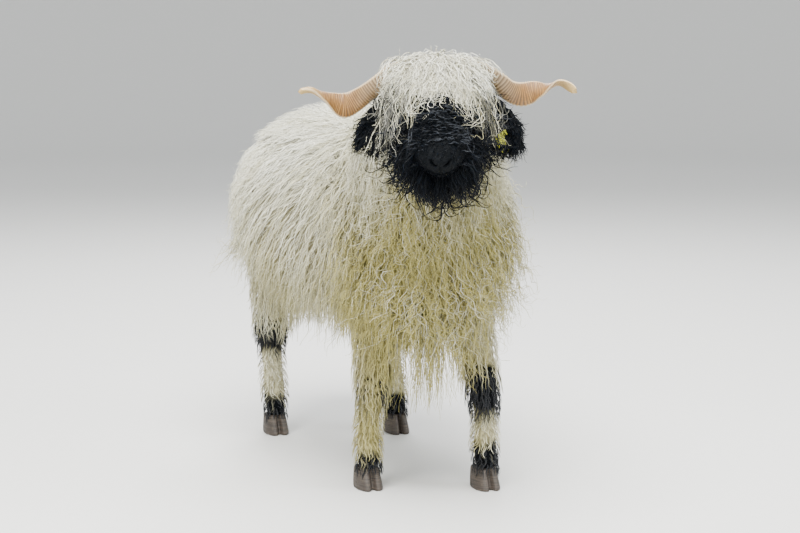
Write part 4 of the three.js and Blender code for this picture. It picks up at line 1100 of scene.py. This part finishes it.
# The coat. These make the functions that coat takes.
def fall(sideways, back):
    """Wool that hangs, parted along the back, and leans sideways and back."""

    def lie(t, degrees, root):
        side = np.clip(2.2 * cos_sin(degrees)[0], -1, 1)
        way = columns(side * sideways, back + 0.7 * (1 - np.abs(side)), -1.0)
        return way + 0.12 * rng.normal(size=root.shape)

    return lie


def about(length, spread, scale, seed):
    return lambda t, degrees, root: length + spread * wobble(root, scale, seed)


def between(low, high, behind=-math.inf):
    return lambda t, degrees, root: ((degrees - low) % 360 < high - low) & (root[:, 1] > behind)


def ahead_of(y):
    return lambda t, degrees, root: root[:, 1] <= y


def mane_length(t, degrees, root):
    return 195 + 65 * smooth(0, -0.9, cos_sin(degrees)[1]) + 18 * wobble(root, 90, 6)


def cream_marks(root):
    return columns(0.0, yellow_and_shade_at(root))


def outer_marks(root):
    return cream_marks(root) * (1, 0.55)


ON_TRUNK = dict(over=(neck, *every_leg), hide=(neck,))
ON_NECK = dict(over=(trunk,), hide=(trunk, head))
# The undercoat keeps more of each tuft in the painted root shade, by its scale of 0.8.
UNDER = dict(
    steps=6, half=5.2, level=0.8, pull=0.12, stand=0.3, swing=0.7, period=62.0, hook=0.5, clump=60.0, share=0.0,
    flat=0.2, tilt=0.2, twist=0.2, unshaded_scale=0.8, marks=cream_marks, calm=True,
)
coat(
    "undercoat_trunk", trunk, 19.8, about(94, 14, 90, 17), fall(0.3, 0.12),
    over=(neck,), hide=(neck, *every_leg), span=(-0.9, 1.95), **UNDER,
)
UNDER_NECK = {**UNDER, "level": 0.88, "half": 4.2}
coat("undercoat_neck", neck, 13.0, about(130, 16, 90, 18), fall(0.1, 0.0), **ON_NECK, **UNDER_NECK)

FLANK = dict(
    steps=10, half=1.1, span=(0.0, 1.95), pull=0.14, stand=0.3, swing=0.85, period=44.0, hook=0.6, clump=20.0,
    share=0.25, tilt=0.25, rough=0.85, calm=True,
)
for side, low, spacing in (("right", 128, 11.0), ("left", -52, 11.6)):
    part = between(low, low + 104, -110)
    coat("fleece_" + side, trunk, spacing, about(112, 22, 130, 7), fall(0.3, 0.16), select=part, **ON_TRUNK, **FLANK)
BACK_WOOL = {**FLANK, "stand": 0.6, "steps": 8, "select": between(52, 128), "over": (neck,), "hide": (neck,)}
coat("fleece_back", trunk, 9.0, about(80, 20, 110, 8), fall(0.9, 0.25), **BACK_WOOL)
BELLY = {**FLANK, "pull": 0.3, "half": 2.0, "select": between(232, 308, -90), "over": every_leg, "hide": every_leg}
coat("fleece_belly", trunk, 15.5, about(120, 20, 90, 9), fall(0.1, 0.1), **BELLY)

CHEST = dict(
    steps=27, half=1.15, pull=0.08, stand=0.25, swing=1.25, period=56.0, hook=1.9, clump=20.0, share=0.25,
    flat=0.55, tilt=0.15, rough=0.92, marks=cream_marks, calm=True,
)
part = dict(select=ahead_of(-88), span=(-0.9, 0.35))
coat("fleece_chest", trunk, 12.8, about(245, 24, 90, 4), fall(0.08, -0.05), **part, **ON_TRUNK, **CHEST)
MANE = {**CHEST, "steps": 22, "half": 1.0, "hook": 1.5}
for side, low in (("right", 90), ("left", -90)):
    part = between(low, low + 180)
    coat("mane_" + side, neck, 11.2, mane_length, fall(0.12, 0.0), select=part, **ON_NECK, **MANE)

# Looser, paler curls over the coat.
OUTER = {
    **CHEST, "steps": 21, "half": 1.25, "swing": 1.3, "period": 62.0, "hook": 2.4, "share": 0.0, "rough": 0.97,
    "level": 1.1, "tilt": 0.1, "marks": outer_marks,
}
part = dict(select=ahead_of(-120), span=(-0.9, 0.3))
coat("chest_curls", trunk, 15.5, about(190, 30, 70, 31), fall(0.08, -0.05), **part, **ON_TRUNK, **OUTER)
part = lambda t, degrees, root: cos_sin(degrees)[1] < 0.1
coat("neck_curls", neck, 18.0, about(170, 30, 70, 32), fall(0.1, 0.0), select=part, **ON_NECK, **OUTER)
SIDE_CURLS = {
    **OUTER, **ON_TRUNK, "steps": 18, "span": (0.0, 1.95), "swing": 1.1, "half": 1.05, "hook": 1.7, "level": 1.03,
    "marks": None,
}
for side, low in (("right", 165), ("left", -52)):
    part = between(low, low + 67, -140)
    coat("flank_curls_" + side, trunk, 21.0, about(150, 24, 70, 33), fall(0.3, 0.16), select=part, **SIDE_CURLS)

coat(
    "fleece_tail", tail, 9.5, about(88, 10, 60, 2), fall(0.1, 0.05), 10, 2.2, over=(trunk,), hide=(trunk,),
    clump=26.0, share=0.6, stand=0.35, period=34.0,
)
LEG = dict(
    steps=6, half=1.6, span=(0.02, 0.985), pull=0.25, stand=0.0, period=24.0, hook=0.3, clump=20.0, share=0.4,
    tilt=0.2, level=0.6, rough=0.5,
)
for name, limb in legs.items():
    lower = 30 if name == "front_right" else 25
    long = lambda t, degrees, root: mix(lower, 78, smooth(0.72, 0.3, t)) + 5 * wobble(root, 50, 3)
    coat("fleece_leg_" + name, limb, 9.8, long, fall(0.0, 0.0), hide=(trunk,), **LEG)

# Head wool: a thick cap, a forelock of looser curls over the brow, and wool that wraps the roots of the horns.
HEAD_AHEAD, HEAD_ASIDE = turned((0, -1, 0), LEVEL_HEAD), turned((1, 0, 0), LEVEL_HEAD)


def head_fall(forward, outward):
    def lie(t, degrees, root):
        side = np.clip(head_local(root)[:, 0] / 40, -1, 1)
        way = DOWN + HEAD_AHEAD * forward + HEAD_ASIDE * (outward * side)[:, None]
        return way + 0.15 * rng.normal(size=root.shape)

    return lie


CURLS = dict(marks=cream_marks, pull=0.14, swing=0.85, period=34.0, hook=1.1)
ROOT_WRAP = dict(
    steps=10, half=1.3, marks=cream_marks, clump=18.0, share=0.45, stand=0.35, swing=0.6, period=30.0, height=6.0,
)
near_head = lambda t, degrees, root: t < 0.42 - 0.16 * rng.random(len(t))
horn_roots = []
for side, rows in HORN_ROWS.items():
    placed = moved([(SIGN[side] * x, y, z) for x, y, z, *_ in rows[:4]], LEVEL_HEAD)
    limb = Limb([(*p, r, r, r, 12, 12, 12) for p, r in zip(placed, (20, 19, 17, 15))], UP, (4, 4), 0.0)
    horn_roots.append(limb)
    length = about(66, 10, 60, 15)
    coat("horn_wool_" + side, limb, 5.6, length, head_fall(0.5, 0.3), over=(head,), select=near_head, **ROOT_WRAP)


def crown_length(t, degrees, root):
    """Shorter over the temples, but for a few long locks."""
    x, y, z = head_local(root).T
    temple = smooth(30, 0, y) * smooth(62, 48, np.degrees(np.arctan2(z, np.abs(x))))
    few = rng.random(len(root)) < 0.12
    uneven = 1 + smooth(5, 30, y) * rng.uniform(-0.45, 0.4, len(root))
    return (76 + 12 * wobble(root, 60, 12)) * np.where(few, 1.15, 1 - 0.5 * temple) * uneven


def crown(t, degrees, root):
    return (black_at(root) < 0.6) & ((degrees % 360 > 180) | (head_local(root)[:, 1] > -60))


def brow(t, degrees, root, low=34):
    y = head_local(root)[:, 1]
    return (degrees % 360 > low) & (degrees % 360 < 180 - low) & (y < 22) & (y > -62)


def forelock_length(t, degrees, root):
    return 64 + 34 * smooth(-70, 10, head_local(root)[:, 1]) + 14 * wobble(root, 40, 13)


def aside(root, near, far):
    return smooth(near, far, np.abs(head_local(root)[:, 0]))


def wisps(t, degrees, root):
    """The brow's roots, fewer of them at the sides."""
    return brow(t, degrees, root, 22) & (rng.random(len(t)) < 1 - 0.35 * aside(root, 30, 45))


def wisp_length(t, degrees, root):
    return 128 + 62 * aside(root, 12, 45) + 26 * (rng.random(len(root)) - 0.5)


def wisp_marks(root):
    """Cream, with grey and black ones at the sides."""
    grey = np.where(rng.random(len(root)) < 0.75 * aside(root, 28, 50), rng.uniform(0.72, 0.93, len(root)), 0.0)
    return columns(grey, yellow_and_shade_at(root))


CAP = dict(steps=10, half=1.25, select=crown, span=(0.3, 1.9), clump=20.0, share=0.5, stand=0.7)
coat("head_wool", head, 5.6, crown_length, head_fall(-0.1, 0.5), over=(neck,), hide=(neck,), **CAP, **CURLS)
FORELOCK = {
    **CURLS, "steps": 12, "half": 1.0, "select": brow, "span": (0.6, 1.0), "over": horn_roots, "height": 15.0,
    "clump": 18.0, "share": 0.6, "stand": 0.6, "hook": 1.5,
}
coat("forelock", head, 4.4, forelock_length, head_fall(1.2, 0.35), **FORELOCK)
WISPS = {
    **FORELOCK, "steps": 20, "half": 0.68, "select": wisps, "height": 19.0, "clump": 24.0, "share": 0.3,
    "stand": 0.7, "marks": wisp_marks, "swing": 0.9, "period": 48.0, "hook": 2.8, "tilt": 0.4, "flat": 0.7,
}
coat("forelock_curls", head, 5.8, wisp_length, head_fall(1.4, 0.75), **WISPS)

# Face wool, rooted on the skin itself: short crimped rows down the nose, longer curls over the cheeks and jaw.
face_quads = head_points[head_quads]
quad_middles = face_quads.mean(1)
quad_ways = np.cross(face_quads[:, 2] - face_quads[:, 0], face_quads[:, 3] - face_quads[:, 1])
quad_sizes = np.linalg.norm(quad_ways, axis=1) / 2
quad_ways = unit(quad_ways)
quad_local = head_local(quad_middles)
quad_x, quad_y, quad_z = quad_local.T
on_face = (black_at(moved(quad_local, TILTED_HEAD)) > 0.5) & (np.abs(quad_x) < EAR_START - 2)
on_face &= np.abs(quad_y - EYE_PLACE[1]) > EYE_GAP


def face_roots(density, chance):
    """Places on the skin of the head, density to a square millimetre where chance is 1, with the way out."""
    odds = quad_sizes * density * DENSITY * (on_face * chance)
    number = np.floor(odds + rng.random(len(odds))).astype(int)
    which = np.repeat(np.arange(len(odds)), number)
    spots = quad_middles[which] + rng.normal(0, 0.8, (len(which), 3))
    return spots, quad_ways[which], head_local(spots)


def face_piece(
    name, spots, outs, heading, length, steps, half, swing, period, phase, hook, pull, tilt, grey=0.0, start=0.35,
    facing=None,
):
    """Face wool from spots on the skin, with its outer side turned to facing where that is given."""
    paths, facings = grow((), spots, outs, heading, length, steps, pull)
    if facing is not None:
        ways = unit(np.gradient(paths, axis=1))
        facings = unit(facing - ways * (facing * ways).sum(-1, keepdims=True))
    paths = bent(paths, facings, length, swing, period, phase, hook, start, tilt)
    t, degrees = head.place(spots)[3:]
    count = len(spots)
    marks = columns(1 - grey * (rng.random(count) < 0.5), 0.1)
    width, uv = half * rng.uniform(*WIDTHS, count), tile_uv("head", t, degrees)
    twist = rng.normal(0, 0.8, count)
    settle(tuft_piece(name, paths, facings, width, uv, black_look, 0.6, twist, marks), "black_wool")


nose_pad = (np.abs(quad_x) < 24) & (np.abs(quad_z - 2) < 12) & (quad_y < -235)
spots, outs, local = face_roots(0.033, 1 - nose_pad)
x, y, z = local.T
heading = turned(columns(0.25 * np.sign(x), -1.0, 0.0), TILTED_HEAD) + DOWN * 0.6
heading = heading - outs * (heading * outs).sum(-1)[:, None] + outs * 0.42 + 0.2 * rng.normal(size=spots.shape)
phase = -TURN * y / 8.0 + rng.normal(0, 0.5, len(spots))
hook = rng.normal(0, 0.4, len(spots))
long = mix(7.5, 17.0, smooth(-240, -130, y))
face_piece("face_wool", spots, outs, heading, long, 4, 1.05, 0.9, 8.0, phase, hook, 0.04, 1.4)

bridge = (quad_ways @ TILTED_HEAD[:3, 2] > 0.35) * smooth(-226, -216, quad_y) * smooth(-88, -100, quad_y)
spots, outs, _ = face_roots(0.03, bridge)
count = len(spots)
sideways = turned((1, 0, 0), TILTED_HEAD) * rng.choice([-1, 1], count)[:, None]
heading = sideways - turned((0, 1, 0), TILTED_HEAD) * rng.uniform(0, 0.35, count)[:, None] + outs * 0.05
long, phase, hook = rng.uniform(12, 20, count), any_phase(count), rng.normal(0, 0.5, count)
lifted = spots + outs * 4.0
face_piece("bridge_crimps", lifted, outs, heading, long, 7, 1.35, 0.75, 11.0, phase, hook, 0.06, 0.5, 0.03)


def radiate(name, density, where, short, long, down, steps, bend=(0.6, 1.8), start=0.35, half=1.3, grey=0.0):
    """Curls that stand away from the cheeks and jaw, short by the mouth and long behind, and end in hooks."""
    spots, outs, local = face_roots(density, where)
    count, upper = len(spots), local[:, 2]
    facing = unit(HEAD_AHEAD + HEAD_ASIDE * rng.normal(0, 0.4, (count, 1)))[:, None]
    heading = outs + DOWN * (down + 0.8 * smooth(-10, 40, upper))[:, None] + HEAD_AHEAD * 0.2
    heading = heading + 0.15 * rng.normal(size=spots.shape)
    length = mix(short, long, smooth(-225, -130, local[:, 1])) * rng.uniform(0.6, 1.15, count)
    hooks = np.sign(wobble(spots, 34, 27) + 0.4 * rng.normal(size=count)) * rng.uniform(*bend, count)
    phase = any_phase(count)
    grey = grey * smooth(0, 30, upper)
    face_piece(
        name, spots, outs, heading, length, steps, half, 0.4, 44.0, phase, hooks, 0.07, 0.25, grey, start, facing
    )


jaw = smooth(-222, -190, quad_y) * smooth(10, -10, quad_z - 34 * smooth(-175, -75, quad_y))
temple = smooth(-190, -160, quad_y) * smooth(36, 46, np.abs(quad_x)) * smooth(8, 24, quad_z)
chin = smooth(-238, -222, quad_y) * smooth(-100, -130, quad_y) * smooth(-12, -22, quad_z)
radiate("cheek_wool", 0.019, jaw, 42.0, 88.0, 0.45, 11, grey=0.07)
radiate("cheek_curls", 0.005, temple, 70.0, 110.0, 1.4, 18, (1.2, 2.8), 0.5, 0.95, 0.12)
radiate("chin_wool", 0.03, chin, 68.0, 90.0, 1.3, 13, half=1.1)
radiate("beard_hooks", 0.005, jaw * smooth(20, -10, quad_z), 98.0, 124.0, 0.8, 20, (1.4, 2.5), 0.5, 2.1)


# Ears: short wool on both faces, longer at the rim, and a fringe that hangs from the left one, but for the tag.
def ear_piece(name, side, paths, outs, width, t, u, twist):
    marks = np.broadcast_to((1.0, 0.0), (len(paths), 2))
    uv = tile_uv("ear_" + side, t, u * 170 + 180)
    settle(tuft_piece(name, paths, outs, width, uv, black_look, 0.5, twist, marks), "black_wool")


for side in SIGN:
    count = int(800 * DENSITY)
    t = rng.uniform(0.12, 1.0, count)
    rim = rng.random(count) < 0.5
    at_rim = np.sign(rng.uniform(-1, 1, count)) * rng.uniform(0.8, 1.0, count)
    u = np.where(rim, at_rim, rng.uniform(-1, 1, count))
    face = np.where(rng.random(count) < 0.6, 1.0, -1.0)
    root, along, wide, rear = ear_place(side, t, u, face * 2.2)
    out = rear * face[:, None]
    heading = along + wide * (u * 1.1)[:, None] + out * 0.35 + DOWN * 0.5 + 0.25 * rng.normal(size=root.shape)
    long = np.where(rim | (t > 0.85), 38, 24) * rng.uniform(0.7, 1.15, count)
    paths, outs = grow((), root, out, heading, long, 7, 0.16)
    swing = rng.uniform(0.3, 0.8, count)
    paths = bent(paths, outs, long, swing, 24.0, any_phase(count), rng.normal(0, 1.8, count))
    width, twist = rng.uniform(1.0, 1.6, count), rng.normal(0, 1, count)
    ear_piece("ear_wool_" + side, side, paths, outs, width, t, u, twist)

TAG_SPOT, TAG_HALF = (55, 744), (10, 15)  # the bare place in x and z
count = int(120 * DENSITY)
t, u = rng.uniform(0.62, 0.94, count), rng.uniform(-0.1, 1.0, count)
root, _, _, rear = ear_place("left", t, u, -2.2)
heading = np.array([0.1, -0.9, -0.5]) + 0.16 * rng.normal(size=root.shape)
long = rng.uniform(48, 66, count)
paths, _ = grow((), root, -rear, heading, long, 11, 0.26)
outs = np.broadcast_to(-BACK, paths.shape)
swing = rng.uniform(0.3, 0.7, count)
paths = bent(paths, outs, long, swing, 26.0, any_phase(count), rng.normal(0, 1.6, count))
bare = np.linalg.norm((paths[..., ::2] - TAG_SPOT) / TAG_HALF, axis=-1).min(1) > 1
width = rng.uniform(1.0, 1.5, bare.sum())
ear_piece("ear_fringe", "left", paths[bare], outs[bare], width, t[bare], u[bare], 0.0)

# Floor, light and camera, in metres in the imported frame. The floor is round and curves up into a wall. Its profile
# is the radius and height of its rings.
bend = np.linspace(0, math.pi / 2, 24)
profile = [(0.5, 0), (3, 0), (6, 0), *zip(9 + 5 * np.sin(bend), 5 - 5 * np.cos(bend)), (14, 7)]
around = circle(96)
disc = np.array([columns(r * np.cos(around), r * np.sin(around), h) for r, h in profile])
points, quads, tris = loft(disc)
floor = mesh_piece("floor", (points - SHIFT) * 1000, [quads, tris[:len(around)]], floor_material())

world = bpy.context.scene.world or bpy.data.worlds.new("studio")
bpy.context.scene.world = world
world.use_nodes = True
background = world.node_tree.nodes["Background"].inputs
background["Color"].default_value, background["Strength"].default_value = (0.93, 0.96, 1.0, 1), 0.9

LIGHTS = {  # place, target, size, power and colour
    "key": ((-1.0, -1.8, 4.4), (0, 0, 0.5), 3.6, 730, (1.0, 0.985, 0.95)),
    "fill": ((3.2, -2.2, 2.2), (0, 0, 0.5), 2.5, 120, (0.96, 0.98, 1.0)),
    "low_fill": ((-2.8, -2.8, 1.5), (0, -0.4, 0.7), 2.5, 70, (1.0, 1.0, 1.0)),
    "rim": ((1.0, 3.0, 3.6), (0, 0, 0.6), 2.0, 220, (1.0, 1.0, 1.0)),
}
for name, (place, target, size, power, colour) in LIGHTS.items():
    data = bpy.data.lights.new(name, "AREA")
    data.shape, data.size, data.energy, data.color = "DISK", size, power, colour
    light = new_object(name, data)
    light.location = place
    light.rotation_euler = (Vector(target) - Vector(place)).to_track_quat("-Z", "Y").to_euler()

AZIMUTH, DISTANCE, HEIGHT, PITCH, FOCAL = -20.0, 4.0, 1.0, 7.68, 87.3
PIXELS_ASIDE, FOCAL_PIXELS = 12.0, 1940
ASIDE = PIXELS_ASIDE / FOCAL_PIXELS * DISTANCE
camera = new_object("camera", bpy.data.cameras.new("camera"))
camera.data.lens, camera.data.sensor_width = FOCAL, 36.0
look = math.radians(AZIMUTH)
camera.location = (
    SHIFT[0] + DISTANCE * math.sin(look) - ASIDE * math.cos(look),
    SHIFT[1] - DISTANCE * math.cos(look) - ASIDE * math.sin(look),
    HEIGHT,
)
camera.rotation_euler = (math.radians(90 - PITCH), 0, look)
bpy.context.scene.camera = camera
